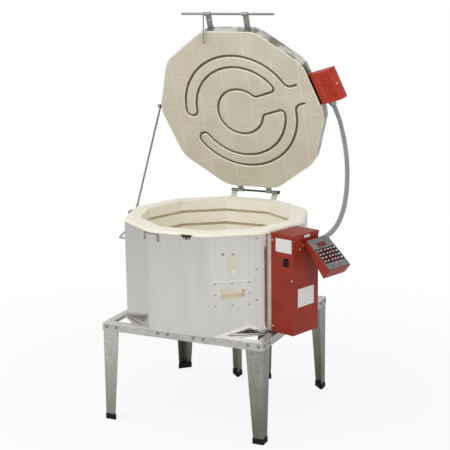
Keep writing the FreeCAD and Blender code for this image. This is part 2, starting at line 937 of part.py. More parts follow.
def plate_on(facet, u0, u1, z0, z1, sheet, corner=0):
    """A flat plate that lies on the jacket."""
    plate = prism([(u0, z0), (u1, z0), (u1, z1), (u0, z1)], 0, sheet, corner)
    plate = plate.transformed(FreeCAD.Matrix(0, 0, 1, jacket_apothem, 1, 0, 0, 0, 0, 1, 0, 0))
    return on_facet(plate, facet)


def conformed(shape):
    """Shape the back of a piece to the jacket that it lies on."""
    return shape.cut(decagon_prism(jacket_apothem, stand_height, jacket_top + 60, corner_bend + jacket_sheet))


def make_window_plate():
    """The stainless plate round the window slot."""
    plate = plate_on(window_facet, plate_u - half_plate, plate_u + half_plate,
                     plate_z - plate_height / 2, plate_z + plate_height / 2, plate_sheet,
                     plate_corner_radius)
    slot = box(jacket_inner, jacket_apothem + 10, slot_left, slot_right, slot_bottom, slot_top)
    plate = plate.cut(on_facet(slot, window_facet))
    save("window_plate", with_screw_holes(plate, window_facet))


def make_peephole_cover():
    """The pear-shaped cover that hangs on one screw."""
    u = peephole_u
    top = cover_pivot_height
    low = top - cover_drop
    spread = math.asin((cover_radius - cover_top_radius) / cover_drop)
    side_y = math.sin(spread)
    side_x = math.cos(spread)
    edges = []
    upper = [Vector(cover_top_radius * sign * side_x, cover_top_radius * side_y, 0) for sign in (1, -1)]
    lower = [Vector(cover_radius * sign * side_x, cover_radius * side_y - cover_drop, 0) for sign in (1, -1)]
    edges.append(Part.Arc(upper[0], Vector(0, cover_top_radius, 0), upper[1]).toShape())
    edges.append(Part.makeLine(upper[1], lower[1]))
    edges.append(Part.Arc(lower[1], Vector(0, -cover_drop - cover_radius, 0), lower[0]).toShape())
    edges.append(Part.makeLine(lower[0], upper[0]))
    pear = Part.Face(Part.Wire(edges)).extrude(Vector(0, 0, cover_sheet))
    pear = pear.transformed(FreeCAD.Matrix(0, 0, 1, 0, 1, 0, 0, 0, 0, 1, 0, 0))
    tab_line = [(0, -cover_drop - cover_radius + 3), (0, -cover_drop - cover_radius - 2),
                (cover_tab_lift, -cover_drop - cover_radius - cover_tab_length)]
    tab = radial_profile(strip(tab_line, cover_sheet), -cover_tab_width / 2, cover_tab_width / 2)
    cover = joined([pear, tab])
    bore = cover_pivot_diameter / 2 + cover_pivot_clearance
    cover = cover.cut(rod(Vector(-1, 0, 0), Vector(cover_sheet + 1, 0, 0), bore))
    face = jacket_apothem + cover_gap
    cover.translate(Vector(face, u, top))
    save("peephole_cover", on_facet(cover, window_facet))


def peephole_screws():
    """The screw that the cover hangs on and the one that stops its swing."""
    u = peephole_u
    top = cover_pivot_height
    head_r = jacket_apothem + cover_gap + cover_sheet + cover_gap
    shank = rod(Vector(jacket_apothem, u, top), Vector(head_r, u, top), cover_pivot_diameter / 2)
    collar = rod(Vector(head_r, u, top), Vector(head_r + 2, u, top), screw_head_radius + 0.5)
    stop_u = u - stop_screw_offset
    neck = rod(Vector(jacket_apothem, stop_u, top), Vector(jacket_apothem + stop_screw_height, stop_u, top),
               screw_shank_radius)
    knob = rod(Vector(jacket_apothem + stop_screw_height, stop_u, top),
               Vector(jacket_apothem + stop_screw_height + 2, stop_u, top), screw_head_radius)
    pieces = [joined([shank, collar]), joined([neck, knob])]
    return [on_facet(piece, window_facet) for piece in pieces]


def make_keeper():
    """The strip that wraps a corner of the jacket, with a leg down each facet."""
    shell = decagon_prism(jacket_apothem + keeper_sheet, 0, rim_z, corner_bend + jacket_sheet + keeper_sheet)
    shell = shell.cut(decagon_prism(jacket_apothem, -1, rim_z + 1, corner_bend + jacket_sheet))
    reach = jacket_apothem * math.tan(math.pi / facets)
    high = jacket_top - 1
    across = box(jacket_apothem - 30, jacket_apothem + 20, -reach - 1, keeper_u + keeper_strip_width / 2,
                 high - keeper_height, high)
    leg = box(jacket_apothem - 30, jacket_apothem + 20, keeper_u - keeper_strip_width / 2,
              keeper_u + keeper_strip_width / 2, high - keeper_drop, high)
    front = joined([across, leg])
    side = front.mirror(Vector(), Vector(0, 1, 0))
    region = joined([on_facet(front, -90), on_facet(side, -126)])
    keeper = shell.common(region)
    keeper = with_screw_holes(with_screw_holes(keeper, -90), -126)
    save("lid_keeper", keeper)


def make_front_stop():
    """The tapered black plate at the middle of the front, with a lip along its top."""
    low = jacket_top - stop_height + stop_rise
    high = jacket_top + stop_rise
    shape = [(stop_left + stop_taper, low), (stop_right - stop_taper, low), (stop_right, high), (stop_left, high)]
    plate = prism(shape, 0, stop_sheet)
    plate = plate.transformed(FreeCAD.Matrix(0, 0, 1, jacket_apothem, 1, 0, 0, 0, 0, 1, 0, 0))
    lip = box(jacket_apothem, jacket_apothem + stop_lip, stop_left, stop_right, high - stop_sheet, high)
    stop = on_facet(joined([plate, lip]), -90)
    save("front_stop", with_screw_holes(stop, -90))


def make_side_handles():
    """A bent rod handle on each side, with a foot plate under each end."""
    out = jacket_apothem + side_handle_reach
    end = side_handle_span / 2
    z = side_handle_height
    start = jacket_apothem + side_handle_foot_sheet
    points = [Vector(start, -end, z), Vector(out, -end, z), Vector(out, end, z), Vector(start, end, z)]
    bar = pipe(rounded_path(points, side_handle_bend), points[0], Vector(1, 0, 0), side_handle_rod / 2)
    foot = side_handle_foot / 2
    feet = []
    for side in (-1, 1):
        plate = prism([(side * end - foot / 2, z - foot), (side * end + foot / 2, z - foot),
                       (side * end + foot / 2, z + foot), (side * end - foot / 2, z + foot)],
                      0, side_handle_foot_sheet, 3)
        feet.append(plate.transformed(FreeCAD.Matrix(0, 0, 1, jacket_apothem, 1, 0, 0, 0, 0, 1, 0, 0)))
    handle = joined([bar] + feet)
    pair = (side_handle_angle, 180 + side_handle_angle)
    save("side_handles", [with_screw_holes(on_facet(handle, facet), facet) for facet in pair])


# Hinge

def eye(y, z, bore, wall, x0, x1):
    """A rolled eye about a line along X."""
    return rod(Vector(x0, y, z), Vector(x1, y, z), bore + wall)


def make_hinge():
    """Two straps on the body, two on the lid and the rod through all four."""
    bore = hinge_rod_diameter / 2 + hinge_fit
    face = jacket_apothem
    line = [(face, body_strap_low), (face, jacket_top - 2), (hinge_y - 2, hinge_z)]
    body = []
    for centre in (-strap_x, strap_x):
        x0 = centre - strap_width / 2
        x1 = centre + strap_width / 2
        plate = side_profile(strip(line[::-1], strap_thickness), x0, x1)
        shape = joined([plate, eye(hinge_y, hinge_z, bore, strap_thickness, x0, x1)])
        pad = box(x0, x1, face - 6, face + 1, body_strap_low, jacket_top - 3)
        shape = conformed(joined([shape, pad]))
        shape = shape.cut(rod(Vector(x0 - 1, hinge_y, hinge_z), Vector(x1 + 1, hinge_y, hinge_z), bore))
        body.append(with_screw_holes(shape, 90))
    save("hinge_straps_body", body)
    reach = strap_x + strap_width / 2 + hinge_end_gap
    start = Vector(-reach, hinge_y, hinge_z)
    end = Vector(reach, hinge_y, hinge_z)
    knob = hexagon(hinge_knob_diameter, 0, hinge_knob_length)
    knob.translate(end)
    collar = rod(start, start - Vector(hinge_collar_length, 0, 0), hinge_rod_diameter * 0.8)
    save("hinge_rod", joined([rod(start, end, hinge_rod_diameter / 2), knob, collar]))
    lid_straps = []
    low = lid_z + strap_margin
    high = lid_z + lid_thickness - strap_margin
    x_lid = lid_strap_spacing / 2
    for centre in (-x_lid, x_lid):
        x0 = centre - strap_width / 2
        x1 = centre + strap_width / 2
        plate = box(x0, x1, lid_band_apothem, lid_band_apothem + strap_thickness, low, high)
        arm = box(x0, x1, lid_band_apothem, hinge_y - 2, hinge_z, hinge_z + strap_thickness)
        shape = joined([plate, arm, eye(hinge_y, hinge_z, bore, strap_thickness, x0, x1)])
        shape = shape.cut(rod(Vector(x0 - 1, hinge_y, hinge_z), Vector(x1 + 1, hinge_y, hinge_z), bore))
        lid_straps.append(opened(shape))
    save("lid_hinge_straps", lid_straps)


# Lid

def arc(centre, radius, start, end):
    """An arc about a point of the XY plane, from one angle to another."""
    spots = []
    for angle in (start, (start + end) / 2, end):
        turn = math.radians(angle)
        spots.append(centre + Vector(radius * math.cos(turn), radius * math.sin(turn), 0))
    return Part.Arc(*spots).toShape()


def half_lead():
    """The lower half of the lid element's line: lead, outer ring, U-turn, middle ring, step, inner ring."""
    side = -lead_spacing / 2
    edges = []
    out_y = side - outer_fillet
    out_x = math.sqrt((outer_ring_radius + outer_fillet) ** 2 - out_y ** 2)
    out_angle = math.degrees(math.atan2(out_y, out_x))
    edges.append(Part.makeLine(Vector(lead_end, side, 0), Vector(out_x, side, 0)))
    edges.append(arc(Vector(out_x, out_y, 0), outer_fillet, 90, 180 + out_angle))
    edges.append(arc(Vector(), outer_ring_radius, out_angle, -turn_angle))
    turn_radius = (outer_ring_radius - middle_ring_radius) / 2
    middle = middle_ring_radius + turn_radius
    turn = math.radians(-turn_angle)
    centre = Vector(middle * math.cos(turn), middle * math.sin(turn), 0)
    edges.append(arc(centre, turn_radius, -turn_angle, -turn_angle - 180))
    step_y = side - step_fillet
    step_x = math.sqrt((middle_ring_radius - step_fillet) ** 2 - step_y ** 2)
    step_angle = math.degrees(math.atan2(step_y, step_x))
    edges.append(arc(Vector(), middle_ring_radius, -turn_angle, step_angle))
    edges.append(arc(Vector(step_x, step_y, 0), step_fillet, step_angle, 90))
    in_y = side - inner_fillet
    in_x = math.sqrt((inner_ring_radius + inner_fillet) ** 2 - in_y ** 2)
    in_angle = math.degrees(math.atan2(in_y, in_x))
    edges.append(Part.makeLine(Vector(step_x, side, 0), Vector(in_x, side, 0)))
    edges.append(arc(Vector(in_x, in_y, 0), inner_fillet, 90, 180 + in_angle))
    edges.append(arc(Vector(), inner_ring_radius, in_angle, -180))
    return edges


def element_line():
    """The whole line of the lid element in the XY plane, open at its two leads."""
    lower = half_lead()
    upper = [edge.mirror(Vector(), Vector(0, 1, 0)) for edge in lower]
    return Part.Wire(lower + upper[::-1])


def swept(section):
    """A closed section in the YZ plane, swept along the lid element's line from its first end."""
    ring = Part.Wire(Part.makePolygon(section + section[:1]).Edges)
    return element_line().makePipeShell([ring], True, False)


def lid_groove():
    """The groove cutter, with bevelled edges at the lid's inner face at z = 0."""
    side = -lead_spacing / 2
    x = lead_end
    mouth = lid_groove_mouth / 2
    wide = lid_groove_width / 2
    section = [Vector(x, side - mouth, -1), Vector(x, side + mouth, -1), Vector(x, side + mouth, 0),
               Vector(x, side + wide, lid_groove_bevel), Vector(x, side + wide, lid_groove_depth),
               Vector(x, side - wide, lid_groove_depth), Vector(x, side - wide, lid_groove_bevel),
               Vector(x, side - mouth, 0)]
    return swept(section)


def placed_on_lid(shape):
    """Move what is drawn with the terminal box along +X and the inner face at z = 0 to the closed lid."""
    placed = shape.copy()
    placed.translate(Vector(0, 0, lid_z))
    return on_facet(placed, element_facet)


def make_lid():
    """The slab with its element groove, the band round it and the element in the groove."""
    slab = decagon_prism(lid_apothem, lid_z, lid_z + lid_thickness, corner_bend)
    edges = [edge for edge in slab.Edges if edge.BoundBox.ZMax < lid_z + 0.01]
    slab = slab.makeFillet(lid_edge_round, edges)
    tools = [placed_on_lid(lid_groove())]
    sides = (-lead_spacing / 2, lead_spacing / 2)
    hole = pin_hole / 2
    for u in sides:
        riser = rod(Vector(lead_end, u, 0), Vector(lead_end, u, lid_pin_height + hole), hole)
        bore = rod(Vector(lead_end - hole, u, lid_pin_height), Vector(lid_apothem + 5, u, lid_pin_height), hole)
        tools += [placed_on_lid(riser), placed_on_lid(bore)]
    bolt_start = arm_bolt_root()
    tools.append(rod(bolt_start, bolt_start - Vector(60, 0, 0), arm_bolt_diameter / 2 + arm_side_gap))
    save("lid_slab", opened(cut_all(slab, tools)))
    low = lid_z + lid_band_inset
    high = lid_z + lid_thickness
    band = decagon_prism(lid_band_apothem, low, high, corner_bend + lid_band_sheet)
    band = band.cut(decagon_prism(lid_band_inner, low - 1, high + 1, corner_bend))
    wide = band_pin_hole / 2
    for u in sides:
        bore = rod(Vector(lid_apothem - 5, u, lid_pin_height), Vector(lid_apothem + 9, u, lid_pin_height), wide)
        tools.append(placed_on_lid(bore))
    save("lid_band", opened(cut_all(band, tools)))
    seat = lid_groove_depth - coil_seat_clearance - coil_radius
    start = Vector(lead_end, sides[0], 0)
    coil = pipe(element_line(), start, Vector(1, 0, 0), coil_radius)
    coil.translate(Vector(0, 0, seat))
    parts = [coil]
    for u in sides:
        knee = Vector(lead_end, u, lid_pin_height)
        parts.append(rod(Vector(lead_end, u, seat), knee, pin_diameter / 2))
        parts.append(Part.makeSphere(pin_diameter / 2, knee))
        parts.append(rod(knee, Vector(lid_band_apothem + lid_pin_reach, u, lid_pin_height), pin_diameter / 2))
    save("lid_element", opened(placed_on_lid(joined(parts))))


def make_band_clamp():
    """Two folded lugs and a screw that draw the band tight."""
    mid = lid_thickness / 2
    low = mid - clamp_lug_height / 2
    high = mid + clamp_lug_height / 2
    outer = lid_band_apothem + clamp_lug
    lugs = []
    for u in (clamp_left, clamp_right - clamp_sheet):
        lugs.append(box(lid_band_apothem - 12, outer, u, u + clamp_sheet, low, high))
    base = box(lid_band_apothem - 12, lid_band_apothem + clamp_sheet, clamp_left, clamp_right, low, high)
    centre = lid_band_apothem + clamp_lug * 0.55
    bolt = rod(Vector(centre, clamp_left - 4, mid), Vector(centre, clamp_right + 4, mid), clamp_screw_radius)
    clamp = placed_on_lid(joined(lugs + [base, bolt]))
    clamp = clamp.cut(decagon_prism(lid_band_apothem, lid_z, lid_z + lid_thickness, corner_bend + lid_band_sheet))
    save("lid_band_clamp", opened(clamp))


# Handle, latch hook and support arm

handle_y = -(lid_band_apothem + handle_stand_off)
handle_z = lid_z + handle_height


def make_handle():
    """Two straps on the lid's front and the bar through their eyes."""
    low = lid_z + strap_margin
    high = lid_z + lid_thickness - strap_margin
    bore = handle_diameter / 2
    straps = []
    for centre in (handle_strap_left, handle_strap_right):
        x0 = centre - handle_strap_width / 2
        x1 = x0 + handle_strap_width
        plate = box(x0, x1, -lid_band_apothem - strap_thickness, -lid_band_apothem, low, high)
        arm = box(x0, x1, handle_y + 2, -lid_band_apothem, handle_z + bore, handle_z + bore + strap_thickness)
        ring = eye(handle_y, handle_z, bore, strap_thickness, x0, x1)
        strap = joined([plate, arm, ring])
        strap = strap.cut(rod(Vector(x0 - 1, handle_y, handle_z), Vector(x1 + 1, handle_y, handle_z), bore))
        if centre < 0:
            spot = Vector(centre, handle_y + handle_stand_off * 0.45, handle_z)
            strap = strap.cut(rod(spot, spot + Vector(0, 0, 30), handle_strap_hole / 2))
        straps.append(opened(strap))
    save("handle_brackets", straps)
    left = Vector(handle_shift - handle_length / 2, handle_y, handle_z)
    bar = rod(left, left + Vector(handle_length, 0, 0), bore)
    bar = bar.makeFillet(1.5, [edge for edge in bar.Edges if edge.Curve.TypeId == "Part::GeomCircle"])
    save("handle_bar", opened(bar))


def make_latch_hook():
    """A thin hook that hangs plumb from the handle bar."""
    centre = opened_point(Vector(0, handle_y, handle_z))
    x1 = handle_strap_left - handle_strap_width / 2 - hook_side_gap
    x0 = x1 - hook_width
    bore = handle_diameter / 2 + hinge_fit
    ring = rod(Vector(x0, centre.y, centre.z), Vector(x1, centre.y, centre.z), bore + hook_eye_wall)
    side = centre.y - bore - hook_eye_wall
    low = centre.z - hook_length
    line = [(side, centre.z), (side, low + hook_bend), (side + hook_bend * 0.4, low),
            (side + hook_bend * 1.2, low), (side + hook_bend * 1.6, low + hook_bend)]
    shank = side_profile(strip(line, hook_thickness), x0, x1)
    hook = joined([ring, shank])
    hook = hook.cut(rod(Vector(x0 - 1, centre.y, centre.z), Vector(x1 + 1, centre.y, centre.z), bore))
    save("latch_hook", hook)


def arm_bolt_root():
    """Where the arm's bolt leaves the band, at the lid's left corner, on the closed lid."""
    corner = lid_band_apothem / math.cos(math.pi / facets)
    bend = corner_bend + lid_band_sheet
    x = corner - (bend / math.cos(math.pi / facets) - bend)
    return Vector(-x + arm_bolt_depth, 0, lid_z + lid_thickness / 2)


def make_support_arm():
    """The flat arm with an eye at each end, and the bolt and spacer that carry it on the lid."""
    top = opened_point(Vector(arm_plane, 0, lid_z + lid_thickness / 2))
    low = Vector(arm_plane, arm_end_y, arm_end_z)
    x0 = arm_plane - arm_thickness / 2
    x1 = arm_plane + arm_thickness / 2
    along = (low - top).normalize()
    side = Vector(0, along.z, -along.y)
    corners = []
    for point, sign in ((top, 1), (low, 1), (low, -1), (top, -1)):
        corner = point + side * (sign * arm_width / 2)
        corners.append((corner.y, corner.z))
    bar = side_profile(corners, x0, x1)
    ends = [rod(Vector(x0, point.y, point.z), Vector(x1, point.y, point.z), arm_eye_radius)
            for point in (top, low)]
    arm = joined([bar] + ends)
    bore = arm_bolt_diameter / 2 + arm_fit
    for point in (top, low):
        arm = arm.cut(rod(Vector(x0 - 1, point.y, point.z), Vector(x1 + 1, point.y, point.z), bore))
    save("support_arm", arm)
    root = arm_bolt_root()
    height = Vector(0, 0, lid_z + lid_thickness / 2)
    head_x = x0 - arm_side_gap
    shank = rod(root, Vector(head_x, 0, 0) + height, arm_bolt_diameter / 2)
    head = rod(Vector(head_x, 0, 0) + height, Vector(head_x - arm_bolt_head_length, 0, 0) + height,
               arm_bolt_head / 2)
    outer_x = root.x - arm_bolt_depth
    spacer = rod(Vector(outer_x, 0, 0) + height, Vector(x1 + arm_side_gap, 0, 0) + height, arm_spacer_radius)
    bolt = joined([shank, head, spacer])
    save("arm_pivot_bolt", opened(bolt))


def make_arm_catch():
    """The bracket beside the arm's lower end: a foot on the jacket, a web out and a bar back."""
    foot = plate_on(198, catch_foot_u - catch_foot_length / 2, catch_foot_u + catch_foot_length / 2,
                    catch_z - catch_height / 2, catch_z + catch_height / 2, catch_sheet)
    outer = arm_plane - arm_thickness / 2 - catch_gap
    low = catch_z - catch_height / 2
    high = catch_z + catch_height / 2
    web_back = catch_front + catch_sheet
    web = box(outer - catch_sheet, -brick_apothem + 6, catch_front, web_back, low, high)
    bar = box(outer - catch_sheet, outer, catch_front, catch_back, low, high)
    catch = conformed(joined([foot, web, bar]))
    catch = catch.cut(decagon_prism(jacket_apothem, 0, 2 * rim_z, corner_bend + jacket_sheet))
    save("arm_catch", with_screw_holes(catch, 198))


# Terminal box on the lid

def make_terminal_box():
    """The sheet box on the lid, the plate that seats it on the band and the block inside."""
    left = terminal_box_left
    right = terminal_box_right
    low = terminal_box_bottom
    high = terminal_box_top
    t = terminal_sheet
    r0 = box_seat_r
    r1 = terminal_outer_r
    cham = terminal_box_chamfer
    shape = [(r0, low), (r1 - cham, low), (r1, low + cham), (r1, high), (r0, high)]
    inner = [(r0 + t, low + t), (r1 - cham - t * 0.4, low + t), (r1 - t, low + cham + t * 0.4),
             (r1 - t, high - t), (r0 + t, high - t)]
    shell = radial_profile(shape, left, right).cut(radial_profile(inner, left + t, right - t))
    inset = seat_plate_inset
    shell = shell.cut(box(r0 - 1, r0 + t + 1, left + 2 * inset, right - 2 * inset,
                          low + 3, lid_pin_height + 8))
    slots = []
    for index in range(louvre_columns):
        r = r0 + louvre_first + index * louvre_pitch
        for row in (-1, 0, 1):
            u = (left + right) / 2 + row * louvre_spacing
            slots.append(box(r, r + louvre_width, u - louvre_length / 2, u + louvre_length / 2, low - 1, low + t + 1))
    tab = box(lid_band_apothem, lid_band_apothem + t, left - terminal_tab_length, left + t,
              low, low + terminal_tab_height)
    web = box(lid_band_apothem, r0 + t, left, left + t, low, low + terminal_tab_height)
    shell = joined([cut_all(shell, slots), tab, web])
    hole = rod(Vector(lid_connector_r, right - 2 * t, lid_connector_height),
               Vector(lid_connector_r, right + 1, lid_connector_height), connector_throat_radius - 3)
    shell = shell.cut(hole)
    save("lid_terminal_box", opened(placed_on_lid(shell)))
    seat = box(lid_band_apothem, r0, left + inset, right - inset, low + 2, high - 4)
    seat = seat.cut(box(lid_band_apothem - 1, r0 + 1, left + 2 * inset, right - 2 * inset,
                        low + 3, lid_pin_height + 8))
    save("lid_box_seat", opened(placed_on_lid(seat)))
    b0 = lid_band_apothem + terminal_block_offset + box_seat_gap
    reach = terminal_block_margin
    block = box(b0, b0 + terminal_block_depth, left + reach, right - reach, low + t,
                low + t + terminal_block_height)
    for u in (-lead_spacing / 2, lead_spacing / 2):
        block = block.cut(rod(Vector(b0 - 1, u, lid_pin_height), Vector(b0 + terminal_block_depth + 1, u,
                          lid_pin_height), pin_diameter / 2 + pin_block_fit))
    save("lid_terminal_block", opened(placed_on_lid(block)))


# Control box

def make_channel():
    """The galvanised channel that holds the control box off the hot jacket."""
    t = channel_sheet
    shape = [(jacket_apothem, box_left), (channel_r, box_left), (channel_r, box_right),
             (jacket_apothem, box_right), (jacket_apothem, box_right - t), (channel_r - t, box_right - t),
             (channel_r - t, box_left + t), (jacket_apothem, box_left + t)]
    channel = prism(shape, box_bottom, channel_top)
    channel = channel.cut(decagon_prism_for(element_facet))
    web = box(jacket_apothem - 8, jacket_apothem + 1, box_left, box_left + t, box_bottom, channel_top)
    channel = joined([channel, web])
    channel = channel.cut(decagon_prism_for(element_facet))
    for z in (box_bottom + 60, (box_bottom + box_top) / 2, box_top - 90):
        slot = box(channel_r - 2 * t, channel_r + 1, -55, 5, z - 6, z + 6)
        channel = channel.cut(slot)
    save("box_channel", on_facet(channel, element_facet))


def decagon_prism_for(angle):
    """The jacket's block as it lies when a facet is turned to face along X."""
    block = decagon_prism(jacket_apothem, 0, rim_z, corner_bend + jacket_sheet)
    return on_facet(block, -angle)


def make_control_box():
    """The sheet box with a lip round its top, louvres low on its end and holes for what it carries."""
    t = box_sheet
    shape = [(channel_r, box_left), (box_outer_r, box_left), (box_outer_r, box_right), (channel_r, box_right)]
    inner = [(channel_r - 1, box_left + t), (box_outer_r - t, box_left + t), (box_outer_r - t, box_right - t),
             (channel_r - 1, box_right - t)]
    body = prism(shape, box_bottom, box_top).cut(prism(inner, box_bottom + t, box_top - t))
    p = box_lip
    lip_outer = [(channel_r, box_left - p), (box_outer_r + p, box_left - p), (box_outer_r + p, box_right + p),
                 (channel_r, box_right + p)]
    lip = prism(lip_outer, box_top - box_lip_depth, box_top).cut(prism(shape, box_bottom, box_top - t))
    body = joined([body, lip])
    w = switch_window_width / 2 + switch_housing_wall + switch_hole_fit
    h = switch_window_height / 2 + switch_housing_wall + switch_hole_fit
    body = body.cut(box(switch_r - w, switch_r + w, box_left - 1, box_left + t + 1, switch_z - h, switch_z + h))
    hole = rod(Vector(box_connector_r, box_right - t - 1, box_connector_z),
               Vector(box_connector_r, box_right + 1, box_connector_z), connector_throat_radius - 3)
    body = body.cut(hole)
    for index in range(louvre_rows):
        z = box_bottom + 24 + index * 10
        body = body.cut(box(channel_r + 26, channel_r + 74, box_right - t - 1, box_right + 1, z, z + 3))
    save("control_box", on_facet(body, element_facet))
    screws = []
    for r, z in ((channel_r + 8, box_top - 27), (channel_r + 8, box_bottom + 23), (box_outer_r - 6, 628)):
        head = Part.makeCylinder(screw_head_radius, screw_head_height, Vector(r, box_left, z), Vector(0, -1, 0))
        screws.append(on_facet(head, element_facet))
    for across, up in bracket_screws:
        u = bracket_left + across
        z = bracket_bottom + up
        head = Part.makeCylinder(screw_head_radius, screw_head_height,
                                 Vector(box_outer_r + bracket_sheet, u, z), Vector(1, 0, 0))
        screws.append(on_facet(head, element_facet))
    save("box_screws", screws)
    middle = (box_left + box_right) / 2
    for name, size, z in (("relay", relay_size, 560), ("transformer", transformer_size, 480),
                          ("power_terminal_block", block_size, 640)):
        depth, width, height = size
        block = box(channel_r, channel_r + depth, middle - width / 2, middle + width / 2, z, z + height)
        ribs = [box(channel_r + depth - 3, channel_r + depth + 1, middle - width / 2 + 6 + index * 12,
                    middle - width / 2 + 9 + index * 12, z - 1, z + height + 1)
                for index in range(int(width / 12))]
        save(name, on_facet(cut_all(block, ribs), element_facet))


def make_switch():
    """A rocker in its housing on the box's front side. Its axle runs along r."""
    w = switch_width / 2
    h = switch_height / 2
    inner_w = switch_window_width / 2
    inner_h = switch_window_height / 2
    wall = switch_housing_wall
    face = box_left
    flange = prism([(-w, -h), (w, -h), (w, h), (-w, h)], 0, switch_flange, 2)
    housing = box(-inner_w - wall, inner_w + wall, -inner_h - wall, inner_h + wall, -switch_housing_depth, 0.1)
    hollow = box(-inner_w, inner_w, -inner_h, inner_h, -switch_housing_depth + wall, switch_flange + 1)
    bezel = joined([flange, housing]).cut(hollow)
    axle_z = -rocker_pivot_depth
    bore = rocker_axle_radius + rocker_axle_fit
    bezel = bezel.cut(rod(Vector(-inner_w - wall - 1, 0, axle_z), Vector(inner_w + wall + 1, 0, axle_z), bore))
    half_length = rocker_length / 2
    side = inner_w - rocker_side_gap
    shape = [(-half_length, axle_z - 1), (-half_length, switch_flange + 1.2), (0, switch_flange - 0.4),
             (half_length, switch_flange + 1.2), (half_length, axle_z - 1), (4, axle_z - 7), (-4, axle_z - 7)]
    paddle = side_profile(shape, -side, side, [0, 1, 6, 1, 0, 1.5, 1.5])
    axle = rod(Vector(-inner_w - wall, 0, axle_z), Vector(inner_w + wall, 0, axle_z), rocker_axle_radius)
    rocker = joined([paddle, axle])
    rocker.rotate(Vector(0, 0, axle_z), Vector(1, 0, 0), rocker_tilt)
    turn = FreeCAD.Matrix(1, 0, 0, switch_r, 0, 0, -1, face, 0, 1, 0, switch_z, 0, 0, 0, 1)
    for name, shape in (("rocker_bezel", bezel), ("rocker", rocker)):
        save(name, on_facet(shape.transformed(turn), element_facet))


def controller_frame(shape):
    """Lay what is drawn on a flat face, x across and y down the slope, on the controller's face."""
    slope = math.radians(controller_slope)
    c = math.cos(slope)
    s = math.sin(slope)
    turn = FreeCAD.Matrix(0, c, s, controller_top_r, 1, 0, 0, controller_left, 0, -s, c, controller_top_z)
    return on_facet(shape.transformed(turn), element_facet)


def make_controller():
    """The wedge housing, its panel, display, keypad with keys and lamps, and the bracket under it."""
    low = controller_depth_low
    high = controller_depth_high
    length = controller_length
    side = [(0, 0), (length, 0), (length, -low), (0, -high)]
    body = side_profile(side, 0, controller_width)
    upright = [edge for edge in body.Edges if abs(edge.BoundBox.YLength) > length * 0.9]
    body = body.makeFillet(controller_edge_round, upright)
    save("controller_housing", controller_frame(body))
    m = panel_margin
    top = panel_raise
    panel = prism([(m, m), (controller_width - m, m), (controller_width - m, length - m), (m, length - m)],
                  0, top, 4)
    save("controller_panel", controller_frame(panel))
    display = prism(rectangle(display_left, display_top, display_width, display_height),
                    top, top + display_raise, 1)
    save("display_window", controller_frame(display))
    k = keypad_margin
    pad = prism(rectangle(k, keypad_top, controller_width - 2 * k, keypad_height), top, top + keypad_raise, 3)
    keys = []
    for row in range(key_rows):
        for x in key_columns:
            y = key_first_row + row * key_pitch
            key = rectangle(x - key_width / 2, y - key_height / 2, key_width, key_height)
            keys.append(prism(key, top, top + keypad_raise + key_raise, 1))
    save("keypad", controller_frame(joined([pad] + keys)))
    lamps = []
    for x, y in ((18, 31), (40, 124), (65, 124), (88, 124)):
        lamps.append(Part.makeCylinder(lamp_radius, 1, Vector(x, y, top)))
    save("indicator_lamps", [controller_frame(lamp) for lamp in lamps])
    slope = math.radians(controller_slope)
    back = Vector(-math.sin(slope), 0, -math.cos(slope))
    down = Vector(math.cos(slope), 0, -math.sin(slope))
    corner = Vector(controller_top_r, 0, controller_top_z) + back * high
    far = Vector(controller_top_r, 0, controller_top_z) + down * length + back * low
    along = (far - corner).normalize()
    rise = along * ((box_outer_r - corner.x) / along.x)
    start = corner + rise
    end = corner + along * bracket_flange
    line = [(end.x, end.z), (start.x, start.z), (box_outer_r, bracket_bottom)]
    flange = radial_profile(strip(line, bracket_sheet), controller_left + 4, bracket_right)
    flange = flange.cut(box(0, box_outer_r, -200, 200, 0, 2000))
    plate = box(box_outer_r, box_outer_r + bracket_sheet, bracket_left, bracket_right,
                bracket_bottom, controller_top_z - 1)
    save("controller_bracket", on_facet(joined([plate, flange]), element_facet))


def rectangle(x, y, width, height):
    """The corners of a rectangle from its lower left corner."""
    return [(x, y), (x + width, y), (x + width, y + height), (x, y + height)]


# Conduit

def connector(length):
    """A conduit connector along +Z: a hex body against the box, a throat and a clamped collar."""
    nut = hexagon(2 * connector_radius, 0, connector_nut_length)
    nut.rotate(Vector(), Vector(0, 1, 0), -90)
    throat = Part.makeCylinder(connector_throat_radius, length)
    collar = Part.makeCylinder(connector_radius, length * 0.35, Vector(0, 0, length * 0.6))
    return joined([nut, throat, collar])


def aimed(shape, start, direction):
    """Stand what is drawn along +Z on a point, along a direction."""
    placed = shape.copy()
    placed.Placement = FreeCAD.Placement(start, FreeCAD.Rotation(Vector(0, 0, 1), direction))
    return placed


conduit_route = [
    (405.0, 256.0, 1239.0),
    (419.5, 266.8, 1197.0),
    (438.0, 266.0, 1130.0),
    (462.0, 244.0, 1055.0),
    (483.0, 204.0, 975.0),
    (497.0, 155.0, 897.0),
    (499.5, 104.0, 826.0),
    (487.0, 48.0, 771.0),
    (461.3, -0.5, 745.0),
    (442.8, -57.6, 745.0),
]


